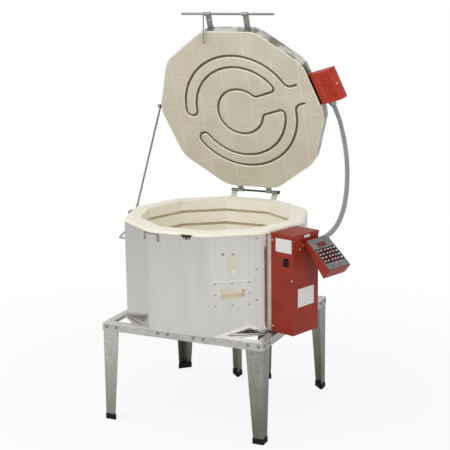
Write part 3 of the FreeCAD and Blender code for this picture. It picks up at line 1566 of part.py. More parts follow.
def make_conduit():
    """Both connectors and the flexible conduit between them."""
    lid_start = Vector(lid_connector_r, terminal_box_right, lid_connector_height)
    lid_connector = aimed(connector(lid_connector_length), lid_start, Vector(0, 1, 0))
    lid_connector = opened(placed_on_lid(lid_connector))
    save("conduit_connector_lid", lid_connector)
    box_start = Vector(box_connector_r, box_right, box_connector_z)
    box_connector = aimed(connector(box_connector_length), box_start, Vector(0, 1, 0))
    save("conduit_connector_box", on_facet(box_connector, element_facet))
    lid_end = facet_point(element_facet, lid_connector_r, terminal_box_right + lid_connector_length,
                          lid_z + lid_connector_height)
    lid_exit = facet_point(element_facet, 0, 1, 0)
    lid_exit = FreeCAD.Rotation(Vector(1, 0, 0), -lid_open_angle).multVec(lid_exit)
    box_end = facet_point(element_facet, box_connector_r, box_right + box_connector_length,
                          box_connector_z)
    points = [Vector(*point) for point in conduit_route]
    points[0] = opened_point(lid_end)
    points[1] = points[0] + lid_exit * conduit_straight_end
    points[-1] = box_end
    points[-2] = box_end + facet_point(element_facet, 0, conduit_straight_end, 0)
    edges = []
    last = points[0]
    bends = []
    for index in range(1, len(points) - 1):
        corner = points[index]
        before = points[index - 1] - corner
        after = points[index + 1] - corner
        reach = 0.45 * min(before.Length, after.Length)
        before.normalize()
        after.normalize()
        turn = math.pi - before.getAngle(after)
        radius = reach / math.tan(turn / 2)
        start = corner + before * reach
        end = corner + after * reach
        dip = radius / math.cos(turn / 2) - radius
        edges.append(Part.makeLine(last, start))
        edges.append(Part.Arc(start, corner + (before + after).normalize() * dip, end).toShape())
        bends.append((round(math.degrees(turn), 1), round(radius, 1)))
        last = end
    edges.append(Part.makeLine(last, points[-1]))
    path = Part.Wire(edges)
    tube = pipe(path, points[0], points[1] - points[0], conduit_diameter / 2)
    save("conduit", tube)
    section = math.pi * conduit_diameter ** 2 / 4
    print("conduit turns and radii", bends, "length", round(path.Length, 1))
    print("conduit runs", [round((points[index + 1] - points[index]).Length) for index in range(len(points) - 1)])
    print("conduit volume over section times length", round(tube.Volume / (section * path.Length), 4))
    first = (points[1] - points[0]).normalize()
    final = (points[-2] - points[-1]).normalize()
    print("conduit leaves the connectors within", round(math.degrees(first.getAngle(lid_exit)), 2),
          round(math.degrees(final.getAngle(facet_point(element_facet, 0, 1, 0))), 2), "degrees")


make_rails()
make_legs()
make_cross_supports()
make_corner_braces()
make_stand_bolts()
make_floor()
make_courses()
make_wall_elements()
make_thermocouple()
make_jacket()
make_window_plate()
make_peephole_cover()
make_keeper()
make_front_stop()
make_side_handles()
make_hinge()
make_lid()
make_band_clamp()
make_handle()
make_latch_hook()
make_support_arm()
make_arm_catch()
make_terminal_box()
make_channel()
make_control_box()
make_switch()
make_controller()
make_conduit()
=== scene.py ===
import json
import math

import bmesh
import bpy
import numpy as np
from mathutils import Matrix, Vector


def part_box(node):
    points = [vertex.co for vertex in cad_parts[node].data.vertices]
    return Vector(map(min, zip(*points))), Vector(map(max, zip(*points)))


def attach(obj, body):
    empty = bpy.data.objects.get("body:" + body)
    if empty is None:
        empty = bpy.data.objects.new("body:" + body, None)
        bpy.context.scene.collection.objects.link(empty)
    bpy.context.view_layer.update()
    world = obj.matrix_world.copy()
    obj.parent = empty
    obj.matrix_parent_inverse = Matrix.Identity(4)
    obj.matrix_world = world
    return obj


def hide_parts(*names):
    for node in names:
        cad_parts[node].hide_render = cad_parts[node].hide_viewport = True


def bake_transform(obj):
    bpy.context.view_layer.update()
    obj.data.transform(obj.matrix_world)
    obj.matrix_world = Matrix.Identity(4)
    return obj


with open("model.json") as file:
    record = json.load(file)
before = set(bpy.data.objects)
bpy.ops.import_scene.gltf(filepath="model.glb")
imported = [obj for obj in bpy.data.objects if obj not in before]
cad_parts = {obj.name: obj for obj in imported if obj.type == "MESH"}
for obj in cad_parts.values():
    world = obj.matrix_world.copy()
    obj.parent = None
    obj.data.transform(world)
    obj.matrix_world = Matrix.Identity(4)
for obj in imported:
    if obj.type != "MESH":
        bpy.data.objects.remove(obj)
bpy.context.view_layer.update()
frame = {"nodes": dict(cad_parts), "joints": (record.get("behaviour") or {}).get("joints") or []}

bl_info = {
    "name": "Electric Kiln",
    "version": (1, 0, 0),
    "blender": (4, 5, 0),
    "location": "View3D > Sidebar > Kiln",
    "description": "Dresses the electric kiln: brick, sheet steel, coils, conduit and controls",
    "category": "Object",
}

MM = 0.001
FACETS = 10

# The directions in which two facets face, in degrees: the control box's and the window's
ELEMENT_FACET = -18
WINDOW_FACET = -54

# Brickwork. The wall's grooves lie between two distances from the middle
COURSE = 114.3 * MM
BRICK_LENGTH = 228.6 * MM
WALL_GROOVES = (298.5 * MM, 312 * MM)
JACKET_APOTHEM = 361.3 * MM
RIM_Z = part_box("brick_course_upper")[1][2]

# The lid, and the groove and the two leads of its element
SEAT_GAP = 0.3 * MM
HINGE = [Vector(joint["pos_m"]) for joint in frame["joints"] if joint["name"] == "lid_hinge"][0]
LID_ANGLE = math.radians(70.67)
LID_Z = RIM_Z + SEAT_GAP
LID_GROOVE_DEPTH = 13 * MM
LEAD_REACH = 296 * MM
LEAD_SIDE = 42 * MM

# The controller's panel: its slope in degrees, and the corner that the keys are measured from
PANEL_SLOPE = 41
PANEL_CORNER = (0.497, -0.044, 0.777)

# The camera that matches the photograph: place in metres, angles in degrees
CAMERA_PLACE = (1.9255, -4.0648, 1.7510)
CAMERA_TURN = 24.94
CAMERA_DOWN = 12.44
CAMERA_ROLL = -0.66

# Turns a plate's face from +Z to +X, with its height along Z
FACE_OUT = Matrix(((0, 0, 1, 0), (1, 0, 0, 0), (0, 1, 0, 0), (0, 0, 0, 1)))

# The route of the conduit in metres, the same points as the solid tube follows
CONDUIT_ROUTE = [
    (0.4047, 0.2534, 1.2349),
    (0.4214, 0.2704, 1.1865),
    (0.4380, 0.2660, 1.1300),
    (0.4620, 0.2440, 1.0550),
    (0.4830, 0.2040, 0.9750),
    (0.4970, 0.1550, 0.8970),
    (0.4995, 0.1040, 0.8260),
    (0.4870, 0.0480, 0.7710),
    (0.4589, -0.0082, 0.7450),
    (0.4422, -0.0596, 0.7450),
]


# Colour and nodes

def linear(code):
    """An sRGB hex colour as linear RGBA."""
    values = [int(code[index:index + 2], 16) / 255 for index in (1, 3, 5)]
    return [c / 12.92 if c <= 0.04045 else ((c + 0.055) / 1.055) ** 2.4 for c in values] + [1.0]


def add(tree, kind, inputs=None, **settings):
    """Add a node with its settings. An input is a value, or a socket to link from."""
    made = tree.nodes.new(kind)
    for name, value in settings.items():
        setattr(made, name, value)
    for name, value in (inputs or {}).items():
        socket = made.inputs[name]
        if isinstance(value, bpy.types.NodeSocket):
            tree.links.new(value, socket)
        else:
            socket.default_value = value
    return made


def ramp(tree, factor, stops):
    """A colour ramp through (position, hex colour) stops."""
    made = add(tree, "ShaderNodeValToRGB", {"Fac": factor})
    elements = made.color_ramp.elements
    while len(elements) < len(stops):
        elements.new(0.5)
    for element, (position, code) in zip(elements, stops):
        element.position = position
        element.color = linear(code)
    return made.outputs["Color"]


def start_material(name):
    """A new material with its shader, and the piece's own coordinates."""
    made = bpy.data.materials.new(name)
    made.use_nodes = True
    tree = made.node_tree
    shader = tree.nodes["Principled BSDF"]
    place = add(tree, "ShaderNodeTexCoord").outputs["Object"]
    return made, tree, shader, place


def noise(tree, place, feature_mm, detail=2.0, stretch=(1, 1, 1)):
    """Noise whose features are about so many millimetres across."""
    scaled = add(tree, "ShaderNodeMapping", {"Vector": place, "Scale": stretch})
    made = add(tree, "ShaderNodeTexNoise",
               {"Vector": scaled.outputs["Vector"], "Scale": 1 / (feature_mm * MM),
                "Detail": detail})
    return made.outputs["Fac"]


def bump(tree, shader, height, depth_mm, strength=1.0):
    """Raise a height of 0 to 1 by so many millimetres."""
    made = add(tree, "ShaderNodeBump",
               {"Height": height, "Distance": depth_mm * MM, "Strength": strength})
    tree.links.new(made.outputs["Normal"], shader.inputs["Normal"])


def math_node(tree, operation, first, second=0.0, third=0.0):
    """One arithmetic step."""
    made = add(tree, "ShaderNodeMath", {0: first, 1: second, 2: third}, operation=operation)
    return made.outputs[0]


def spread(tree, factor, low, high):
    """Map 0 to 1 onto a range."""
    made = add(tree, "ShaderNodeMapRange", {"Value": factor, "To Min": low, "To Max": high})
    return made.outputs["Result"]


def blend_to(tree, share, colour, code):
    """Move a colour towards a hex colour by a share of 0 to 1."""
    mixed = add(tree, "ShaderNodeMix", {"Factor": share}, data_type="RGBA")
    tree.links.new(colour, mixed.inputs[6])
    mixed.inputs[7].default_value = linear(code)
    return mixed.outputs[2]


def between(tree, value, low, high):
    """1 where a value lies between two limits, and 0 elsewhere."""
    above = math_node(tree, "GREATER_THAN", value, low)
    below = math_node(tree, "LESS_THAN", value, high)
    return math_node(tree, "MULTIPLY", above, below)


def link(tree, shader, socket, source):
    """Feed a socket of the shader."""
    tree.links.new(source, shader.inputs[socket])


# Metals

def bright_sheet(name, code="#dcdad5", roughness=0.13, reflection=None):
    """Bright annealed stainless sheet: nearly a mirror, with faint rolling streaks and slow waves.

    A further colour adds dark patches of painted reflection.
    """
    made, tree, shader, place = start_material(name)
    streaks = noise(tree, place, 12, 1, (1, 1, 0.03))
    waves = noise(tree, place, 90, 1)
    colour = ramp(tree, streaks, [(0.1, code), (1.0, "#d3d1cc")])
    # Painted reflection: dark patches where a mirror-bright sheet would reflect dark things
    if reflection:
        reflection_patches = ramp(tree, noise(tree, place, 55, 2), [(0.42, "#000000"), (0.6, "#ffffff")])
        colour = blend_to(tree, reflection_patches, colour, reflection)
    link(tree, shader, "Base Color", colour)
    shader.inputs["Metallic"].default_value = 1.0
    link(tree, shader, "Roughness", spread(tree, streaks, roughness - 0.02, roughness + 0.04))
    bump(tree, shader, waves, 0.35)
    return made


def galvanised_sheet(name, light="#cccbc5", dark="#b3b2ab", spangle_mm=9, floor_shade=None):
    """Hot-dipped galvanised sheet: grey zinc crystals of unlike brightness.

    A floor shade colour darkens it from 320 mm above the floor downwards: painted shade, for the
    darker reflection near the floor.
    """
    made, tree, shader, place = start_material(name)
    cells = add(tree, "ShaderNodeTexVoronoi", {"Vector": place, "Scale": 1 / (spangle_mm * MM)})
    value = add(tree, "ShaderNodeSeparateColor", {"Color": cells.outputs["Color"]}).outputs[0]
    cloud = noise(tree, place, 60, 2)
    mixed = math_node(tree, "MULTIPLY_ADD", value, 0.4, math_node(tree, "MULTIPLY", cloud, 0.6))
    colour = ramp(tree, mixed, [(0.2, dark), (0.75, light)])
    # Painted shade: darker towards the floor
    if floor_shade:
        height = add(tree, "ShaderNodeSeparateXYZ", {"Vector": place}).outputs[2]
        low = add(tree, "ShaderNodeMapRange",
                  {"Value": height, "From Min": 320 * MM, "From Max": 60 * MM,
                   "To Min": 0.0, "To Max": 0.85})
        colour = blend_to(tree, low.outputs["Result"], colour, floor_shade)
    link(tree, shader, "Base Color", colour)
    shader.inputs["Metallic"].default_value = 0.85
    link(tree, shader, "Roughness", spread(tree, value, 0.34, 0.4))
    bump(tree, shader, noise(tree, place, 1.5, 2), 0.02)
    return made


def zinc_plate(name, code="#b4b4ad", roughness=0.32):
    """Zinc-plated steel hardware: satin, with fine handling scratches."""
    made, tree, shader, place = start_material(name)
    scratches = noise(tree, place, 1.2, 4, (1, 1, 6))
    link(tree, shader, "Base Color", ramp(tree, scratches, [(0.3, "#8e8e88"), (0.7, code)]))
    shader.inputs["Metallic"].default_value = 1.0
    link(tree, shader, "Roughness", spread(tree, scratches, roughness - 0.05, roughness + 0.12))
    bump(tree, shader, scratches, 0.03)
    return made


def black_oxide(name, code="#131211"):
    """Black oxide steel: dark, slightly oily, worn grey on its high spots."""
    made, tree, shader, place = start_material(name)
    wear = noise(tree, place, 6, 4)
    link(tree, shader, "Base Color", ramp(tree, wear, [(0.45, code), (0.85, "#32302d")]))
    shader.inputs["Metallic"].default_value = 0.6
    link(tree, shader, "Roughness", spread(tree, wear, 0.3, 0.5))
    bump(tree, shader, wear, 0.03)
    return made


def resistance_wire(name, dark, light):
    """Fired iron-chrome-aluminium wire: brown oxide with ochre bloom."""
    made, tree, shader, place = start_material(name)
    bloom = noise(tree, place, 14, 3)
    link(tree, shader, "Base Color", ramp(tree, bloom, [(0.3, dark), (0.75, light)]))
    shader.inputs["Metallic"].default_value = 0.3
    shader.inputs["Roughness"].default_value = 0.6
    bump(tree, shader, noise(tree, place, 0.8, 2), 0.05)
    return made


# Brick and ceramic

def brick_body(tree, shader, place, seam, lightened, light="#fffcf1", dark="#fbf4e0"):
    """Insulating firebrick: cream, open-pored and dusty.

    The seam is 1 on a joint. Where the last mask is 1 the colour is lifted towards near-white:
    painted light in the wall's grooves, a painted highlight on the lid's groove edges, and a paler
    tone on the rim.
    """
    cloud = noise(tree, place, 120, 3)
    grain = noise(tree, place, 2.2, 4)
    mixed = math_node(tree, "MULTIPLY_ADD", grain, 0.35, math_node(tree, "MULTIPLY", cloud, 0.65))
    colour = ramp(tree, mixed, [(0.3, dark), (0.7, light)])
    colour = blend_to(tree, math_node(tree, "MULTIPLY", seam, 0.5), colour, "#fbf6e8")
    # Painted light lifts the colour towards near-white in the grooves and on the lid's groove
    # edges; the rim is paler
    link(tree, shader, "Base Color", blend_to(tree, lightened, colour, "#fffaec"))
    shader.inputs["Roughness"].default_value = 0.95
    shader.inputs["Specular IOR Level"].default_value = 0.2
    pores = add(tree, "ShaderNodeTexVoronoi", {"Vector": place, "Scale": 1 / (1.8 * MM)})
    pits = spread(tree, pores.outputs["Distance"], 0.0, 1.0)
    height = math_node(tree, "SUBTRACT", pits, math_node(tree, "MULTIPLY", seam, 0.6))
    bump(tree, shader, height, 0.3, 0.7)


def wall_brick(name, seam_mm=1.6):
    """The mitred wall bricks, with a joint at every corner and between the courses."""
    made, tree, shader, place = start_material(name)
    axes = add(tree, "ShaderNodeSeparateXYZ", {"Vector": place}).outputs
    angle = math_node(tree, "ARCTAN2", axes[1], axes[0])
    step = 2 * math.pi / FACETS
    turned = math_node(tree, "PINGPONG", angle, step / 2)
    level = add(tree, "ShaderNodeVectorMath", {0: place, 1: (1, 1, 0)}, operation="MULTIPLY")
    radius = add(tree, "ShaderNodeVectorMath", {0: level.outputs[0]}, operation="LENGTH")
    radius = radius.outputs["Value"]
    away = math_node(tree, "MULTIPLY", turned, radius)
    joint = math_node(tree, "LESS_THAN", away, seam_mm * MM / 2)
    drop = math_node(tree, "SUBTRACT", RIM_Z, axes[2])
    drop = math_node(tree, "PINGPONG", drop, COURSE / 2)
    bed = math_node(tree, "LESS_THAN", drop, seam_mm * MM / 2)
    top = math_node(tree, "LESS_THAN", axes[2], RIM_Z - 10 * MM)
    bed = math_node(tree, "MULTIPLY", bed, top)
    rim = math_node(tree, "GREATER_THAN", axes[2], RIM_Z - 5 * MM)
    off_centre = math_node(tree, "SUBTRACT", step / 2, turned)
    square = math_node(tree, "MULTIPLY", radius, math_node(tree, "COSINE", off_centre))
    # Painted light: the faces inside the wall's grooves go near-white against their shade; the
    # rim's top 5 mm is paler
    groove = math_node(tree, "MULTIPLY", between(tree, square, *WALL_GROOVES), top)
    lightened = math_node(tree, "MAXIMUM", math_node(tree, "MULTIPLY", rim, 0.7), groove)
    brick_body(tree, shader, place, math_node(tree, "MAXIMUM", joint, bed), lightened)
    return made


def lid_brick(name, seam_mm=2.2):
    """The lid's cemented bricks: columns of one brick's face, staggered along their length."""
    made, tree, shader, place = start_material(name)
    moved = add(tree, "ShaderNodeVectorMath", {0: place, 1: HINGE}, operation="SUBTRACT")
    flat = add(tree, "ShaderNodeVectorRotate",
               {"Vector": moved.outputs[0], "Axis": (1, 0, 0), "Angle": LID_ANGLE})
    axes = add(tree, "ShaderNodeSeparateXYZ", {"Vector": flat.outputs[0]}).outputs
    along = math_node(tree, "ADD", axes[1], 310 * MM)
    across = math_node(tree, "ADD", axes[0], 173 * MM + 10 * COURSE)
    swapped = add(tree, "ShaderNodeCombineXYZ", {0: along, 1: across})
    bricks = add(tree, "ShaderNodeTexBrick",
                 {"Vector": swapped.outputs[0], "Scale": 1.0, "Mortar Size": seam_mm * MM / 2,
                  "Mortar Smooth": 0.1, "Brick Width": BRICK_LENGTH, "Row Height": COURSE},
                 offset=0.37, offset_frequency=2)
    depth = math_node(tree, "ADD", axes[2], HINGE.z - LID_Z)
    # Painted highlight: the groove walls from 0.2 to 7 mm above the lid's underside are lifted
    # towards near-white
    groove_edge_highlight = between(tree, depth, 0.2 * MM, 7 * MM)
    # Painted shade: the lid's copy of the brick is darker and greyer than the wall's
    brick_body(tree, shader, place, bricks.outputs["Fac"], groove_edge_highlight, "#dcd6c7", "#cbc3ad")
    return made


def fired_ceramic(name):
    """Dense unglazed ceramic: off-white, fine-grained, faintly glossy."""
    made, tree, shader, place = start_material(name)
    grain = noise(tree, place, 1.5, 3)
    link(tree, shader, "Base Color", ramp(tree, grain, [(0.3, "#d9d3c4"), (0.7, "#efeadd")]))
    shader.inputs["Roughness"].default_value = 0.6
    bump(tree, shader, grain, 0.05)
    return made


# Paint and plastics

def powder_coat(name, light="#982c17", dark="#882410"):
    """Oven-cured powder coat on sheet steel: brick red with a fine orange peel."""
    made, tree, shader, place = start_material(name)
    cloud = noise(tree, place, 70, 2)
    peel = noise(tree, place, 1.6, 1)
    link(tree, shader, "Base Color", ramp(tree, cloud, [(0.3, dark), (0.7, light)]))
    link(tree, shader, "Roughness", spread(tree, peel, 0.38, 0.5))
    shader.inputs["Specular IOR Level"].default_value = 0.35
    bump(tree, shader, peel, 0.05)
    return made


def moulded(name, code, roughness=0.45, grain_mm=0.9):
    """Moulded plastic or rubber with a fine spark-eroded grain."""
    made, tree, shader, place = start_material(name)
    grain = noise(tree, place, grain_mm, 2)
    cloud = noise(tree, place, 25, 2)
    parts = [int(code[index:index + 2], 16) for index in (1, 3, 5)]
    lighter = "#" + "".join("%02x" % min(255, int(part * 1.2) + 6) for part in parts)
    link(tree, shader, "Base Color", ramp(tree, cloud, [(0.35, code), (0.8, lighter)]))
    link(tree, shader, "Roughness", spread(tree, grain, roughness - 0.05, roughness + 0.1))
    shader.inputs["Specular IOR Level"].default_value = 0.25
    bump(tree, shader, grain, 0.03)
    return made


def tinted_window(name):
    """Tinted acrylic display window: dark red and smooth."""
    made, tree, shader, place = start_material(name)
    haze = noise(tree, place, 9, 2)
    link(tree, shader, "Base Color", ramp(tree, haze, [(0.3, "#5a0f0c"), (0.8, "#7a1a12")]))
    shader.inputs["Roughness"].default_value = 0.2
    shader.inputs["Specular IOR Level"].default_value = 0.25
    return made


def lamp_lens(name):
    """Moulded lamp lens: pink, smooth and faintly lit."""
    made, tree, shader, place = start_material(name)
    pink = "#e88a90"
    haze = noise(tree, place, 2, 1)
    link(tree, shader, "Base Color", ramp(tree, haze, [(0.3, pink), (0.8, "#f5b9ba")]))
    shader.inputs["Roughness"].default_value = 0.2
    shader.inputs["Emission Color"].default_value = linear(pink)
    shader.inputs["Emission Strength"].default_value = 0.15
    return made


def printed_label(name):
    """Coated label stock: off-white, slightly uneven, with a soft sheen."""
    made, tree, shader, place = start_material(name)
    fibre = noise(tree, place, 3, 3)
    link(tree, shader, "Base Color", ramp(tree, fibre, [(0.3, "#d8d6d3"), (0.7, "#e9e7e4")]))
    shader.inputs["Roughness"].default_value = 0.4
    bump(tree, shader, fibre, 0.02)
    return made


def laminated_steel(name):
    """Stacked transformer plates: dark steel with a line at every plate."""
    made, tree, shader, place = start_material(name)
    plate = 1.2 * MM
    wave = add(tree, "ShaderNodeTexWave", {"Vector": place, "Scale": 0.5 / plate},
               bands_direction="Z")
    lines = wave.outputs["Fac"]
    link(tree, shader, "Base Color", ramp(tree, lines, [(0.2, "#2c2b2a"), (0.8, "#57534e")]))
    shader.inputs["Metallic"].default_value = 0.5
    shader.inputs["Roughness"].default_value = 0.5
    bump(tree, shader, lines, 0.1)
    return made


MATERIALS = {}


def material(name):
    """A finish of the kiln, made once."""
    makers = {
        "bright_stainless_sheet": bright_sheet,
        # Painted reflection: the lid's band gets dark patches
        "band_with_painted_reflections": lambda n: bright_sheet(n, "#c9c6be", 0.08, "#827e72"),
        "galvanised_steel": galvanised_sheet,
        # Painted light and shade: the same galvanised legs, a darker copy and a lighter copy for
        # the front left leg, both with painted shade towards the floor
        "galvanised_leg_painted_shade": lambda n: galvanised_sheet(n, "#aaa99e", "#918f88", 9, "#6f7062"),
        "galvanised_leg_painted_light": lambda n: galvanised_sheet(n, "#cacac4", "#b3b3ac", 9, "#8f9084"),
        "galvanised_channel": lambda n: galvanised_sheet(n, "#e0dfda", "#cfcec8", 12),
        "zinc_plated_steel": zinc_plate,
        "conduit_steel_strip": lambda n: zinc_plate(n, "#e3e3df", 0.3),
        # Painted shade: the faces in the conduit's grooves get this dark colour
        "conduit_groove_shade": lambda n: black_oxide(n, "#262522"),
        "black_oxide_steel": black_oxide,
        "lacquered_bar_steel": lambda n: zinc_plate(n, "#8d898a", 0.4),
        "dulled_zinc_steel": lambda n: zinc_plate(n, "#a3a198", 0.4),
        "bright_bolt_steel": lambda n: zinc_plate(n, "#9c9c95", 0.28),
        "nickel_plated_screws": lambda n: zinc_plate(n, "#f2f0ea", 0.5),
        "dulled_stainless_sheet": lambda n: bright_sheet(n, "#c4c2bb", 0.34),
        "heat_yellowed_cover": lambda n: bright_sheet(n, "#e0d6bb", 0.34),
        "fired_resistance_wire": lambda n: resistance_wire(n, "#7d6a38", "#ab9452"),
        # Painted light: the wall's copy of the wire is near-white against the shade in its grooves
        "resistance_wire_painted_light": lambda n: resistance_wire(n, "#f0e2b8", "#fbf0cd"),
        "insulating_wall_brick": wall_brick,
        # Painted shade: the lid's brick is a darker, greyer copy
        "lid_brick_painted_shade": lid_brick,
        "fired_terminal_ceramic": fired_ceramic,
        "red_powder_coat": powder_coat,
        # Painted light: a lighter copy of the same red powder coat, for the lid's terminal box
        "red_powder_coat_painted_light": lambda n: powder_coat(n, "#bf3a22", "#ad301b"),
        "moulded_rubber_feet": lambda n: moulded(n, "#0e0e0d", 0.7),
        "moulded_black_plastic": lambda n: moulded(n, "#080808", 0.5),
        "keypad_membrane": lambda n: moulded(n, "#070606", 0.6),
        "pale_key_print": lambda n: moulded(n, "#e39a96", 0.5),
        "white_key_print": lambda n: moulded(n, "#dcd5d2", 0.5),
        "grey_membrane_overlay": lambda n: moulded(n, "#6d7071", 0.42),
        "tinted_display_window": tinted_window,
        "pink_lamp_lens": lamp_lens,
        "coated_label_stock": printed_label,
        "transformer_plates": laminated_steel,
    }
    if name not in MATERIALS:
        MATERIALS[name] = makers[name](name)
    return MATERIALS[name]


def dress(finish, *nodes):
    """Give nodes of the frame a finish, and smooth their curved faces."""
    for node in nodes:
        mesh = frame["nodes"][node].data
        mesh.materials.clear()
        mesh.materials.append(material(finish))
        mesh.shade_smooth()
        mesh.set_sharp_from_angle(angle=math.radians(30))


def new_piece(name, mesh, finish, body):
    """Add a mesh to the scene with its finish, riding on a body."""
    piece = bpy.data.objects.new(name, mesh)
    bpy.context.scene.collection.objects.link(piece)
    mesh.materials.append(material(finish))
    if body:
        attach(piece, body)
    return piece


# Geometry

def facet_matrix(angle):
    """The frame of a facet: X outward, Y along it, Z up."""
    return Matrix.Rotation(math.radians(angle), 4, "Z")


def lid_matrix():
    """Where the closed lid's own frame lies when the lid is open."""
    turn = Matrix.Rotation(-LID_ANGLE, 4, "X")
    flat = facet_matrix(ELEMENT_FACET)
    up = Matrix.Translation(Vector((0, 0, LID_Z)) - HINGE)
    return Matrix.Translation(HINGE) @ turn @ up @ flat


def arc_points(centre, radius, start, end, step=2.5 * MM):
    """Points along an arc in a plane, angles in radians."""
    count = max(2, int(abs(end - start) * radius / step))
    angles = [start + (end - start) * index / count for index in range(count + 1)]
    return [(centre[0] + radius * math.cos(a), centre[1] + radius * math.sin(a)) for a in angles]


def lid_element_points():
    """The line of the lid element, from one lead round its rings to the other."""
    side = -LEAD_SIDE
    outer, middle, inner = 250 * MM, 200 * MM, 101 * MM
    bend, bend_centre = 25 * MM, 225 * MM
    turn = math.radians(162.4)
    line = [(LEAD_REACH, side)]
    for radius, fillet, outside in ((outer, 30 * MM, True), (middle, 18 * MM, False),
                                    (inner, 20 * MM, True)):
        reach = radius + fillet if outside else radius - fillet
        y = side - fillet
        x = math.sqrt(reach ** 2 - y ** 2)
        angle = math.atan2(y, x)
        if radius == outer:
            line += arc_points((x, y), fillet, math.pi / 2, math.pi + angle)
            line += arc_points((0, 0), radius, angle, -turn)
            centre = (bend_centre * math.cos(turn), -bend_centre * math.sin(turn))
            line += arc_points(centre, bend, -turn, -turn - math.pi)
        elif radius == middle:
            line += arc_points((0, 0), radius, -turn, angle)
            line += arc_points((x, y), fillet, angle, math.pi / 2)
        else:
            line += arc_points((x, y), fillet, math.pi / 2, math.pi + angle)
            line += arc_points((0, 0), radius, angle, -math.pi)
    return line + [(x, -y) for x, y in line[::-1]]


def resample(points, step):
    """Evenly spaced points along a polyline, as an array, and the line's length."""
    line = np.array(points, float)
    lengths = np.linalg.norm(np.diff(line, axis=0), axis=1)
    keep = np.concatenate([[True], lengths > 1e-9])
    line = line[keep]
    travelled = np.concatenate([[0], np.cumsum(np.linalg.norm(np.diff(line, axis=0), axis=1))])
    count = max(2, int(travelled[-1] / step))
    places = np.linspace(0, travelled[-1], count + 1)
    spots = [np.interp(places, travelled, line[:, axis]) for axis in range(3)]
    return np.stack(spots, axis=1), travelled[-1]


def carried_frames(line):
    """A normal and a binormal carried along a line without twisting."""
    tangents = np.gradient(line, axis=0)
    tangents /= np.linalg.norm(tangents, axis=1)[:, None]
    normals = np.zeros_like(line)
    guess = np.array([0, 0, 1.0]) if abs(tangents[0][2]) < 0.9 else np.array([1.0, 0, 0])
    for index, tangent in enumerate(tangents):
        guess = guess - tangent * np.dot(guess, tangent)
        guess /= np.linalg.norm(guess)
        normals[index] = guess
    return tangents, normals, np.cross(tangents, normals)


def tube_mesh(name, line, radii, sides):
    """A closed tube round a line, with a radius for every point and side."""
    _, normals, binormals = carried_frames(line)
    angles = np.arange(sides) * 2 * math.pi / sides
    ring = normals[:, None] * np.cos(angles)[:, None] + binormals[:, None] * np.sin(angles)[:, None]
    spots = line[:, None] + ring * np.asarray(radii).reshape(len(line), -1, 1)
    count = len(line)
    index = np.arange(count * sides).reshape(count, sides)
    after = np.roll(index, -1, axis=1)
    quads = np.stack([index[:-1], after[:-1], after[1:], index[1:]], axis=-1).reshape(-1, 4)
    faces = quads.tolist() + [index[0][::-1].tolist(), index[-1].tolist()]
    mesh = bpy.data.meshes.new(name)
    mesh.from_pydata(spots.reshape(-1, 3).tolist(), [], faces)
    mesh.shade_smooth()
    return mesh


def coil_line(points, radius, pitch, steps=9):
    """The centre line of a wire coiled round a path, in so many steps to a turn."""
    line, _ = resample(points, pitch / steps)
    _, normals, binormals = carried_frames(line)
    turns = np.arange(len(line)) / steps * 2 * math.pi
    line += normals * (radius * np.cos(turns))[:, None]
    return line + binormals * (radius * np.sin(turns))[:, None]


def rounded_plate(name, width, height, thickness, corner, bevel=0.3 * MM, segments=5):
    """A flat plate in the XY plane with rounded corners and softened edges."""
    shape = bmesh.new()
    ring = []
    for x_side, y_side, start in ((1, 1, 0), (-1, 1, 90), (-1, -1, 180), (1, -1, 270)):
        for index in range(segments + 1):
            angle = math.radians(start + 90 * index / segments)
            x = x_side * (width / 2 - corner) + corner * math.cos(angle)
            y = y_side * (height / 2 - corner) + corner * math.sin(angle)
            ring.append(shape.verts.new((x, y, 0)))
    face = shape.faces.new(ring)
    raised = bmesh.ops.extrude_face_region(shape, geom=[face])
    tops = [item for item in raised["geom"] if isinstance(item, bmesh.types.BMVert)]
    bmesh.ops.translate(shape, verts=tops, vec=(0, 0, thickness))
    rim = [edge for edge in shape.edges
           if all(abs(vert.co.z - thickness) < 1e-9 for vert in edge.verts)]
    bmesh.ops.bevel(shape, geom=rim, offset=min(bevel, thickness / 2), segments=2, affect="EDGES")
    bmesh.ops.recalc_face_normals(shape, faces=shape.faces)
    mesh = bpy.data.meshes.new(name)
    shape.to_mesh(mesh)
    shape.free()
    return mesh


# Settings shown in the panel

class KilnElementSettings(bpy.types.PropertyGroup):
    """Sizes of the coiled wire."""

    coil_diameter: bpy.props.FloatProperty(
        name="Coil diameter", description="Outside diameter of the coiled element",
        default=8.4 * MM, unit="LENGTH")
    wire_diameter: bpy.props.FloatProperty(
        name="Wire diameter", description="Thickness of the resistance wire",
        default=2.0 * MM, unit="LENGTH")
    pitch: bpy.props.FloatProperty(
        name="Pitch", description="Distance from one turn to the next",
        default=4.2 * MM, unit="LENGTH")
    wall_pitch: bpy.props.FloatProperty(
        name="Wall pitch", description="Distance between turns in the wall",
        default=3.0 * MM, unit="LENGTH")


class KilnConduitSettings(bpy.types.PropertyGroup):
    """Sizes of the flexible conduit."""

    diameter: bpy.props.FloatProperty(
        name="Diameter", description="Outside diameter over the ridges",
        default=20 * MM, unit="LENGTH")
    pitch: bpy.props.FloatProperty(
        name="Strip pitch", description="Width of one turn of the wound strip",
        default=7.6 * MM, unit="LENGTH")
    groove: bpy.props.FloatProperty(
        name="Groove depth", description="Depth between two turns",
        default=2.8 * MM, unit="LENGTH")


class KilnStageSettings(bpy.types.PropertyGroup):
    """Camera, light and background."""

    focal_length: bpy.props.FloatProperty(
        name="Focal length", description="Lens in millimetres on a 36 mm sensor", default=90.89)
    key_power: bpy.props.FloatProperty(
        name="Key light", description="Power of the large lamp, in watts", default=46.0)
    fill_power: bpy.props.FloatProperty(
        name="Fill light", description="Power of the front lamp, in watts", default=26.0)
    sky: bpy.props.FloatProperty(
        name="Sky", description="Strength of the soft light from all round",
        default=0.62, min=0, max=2)


# Operators

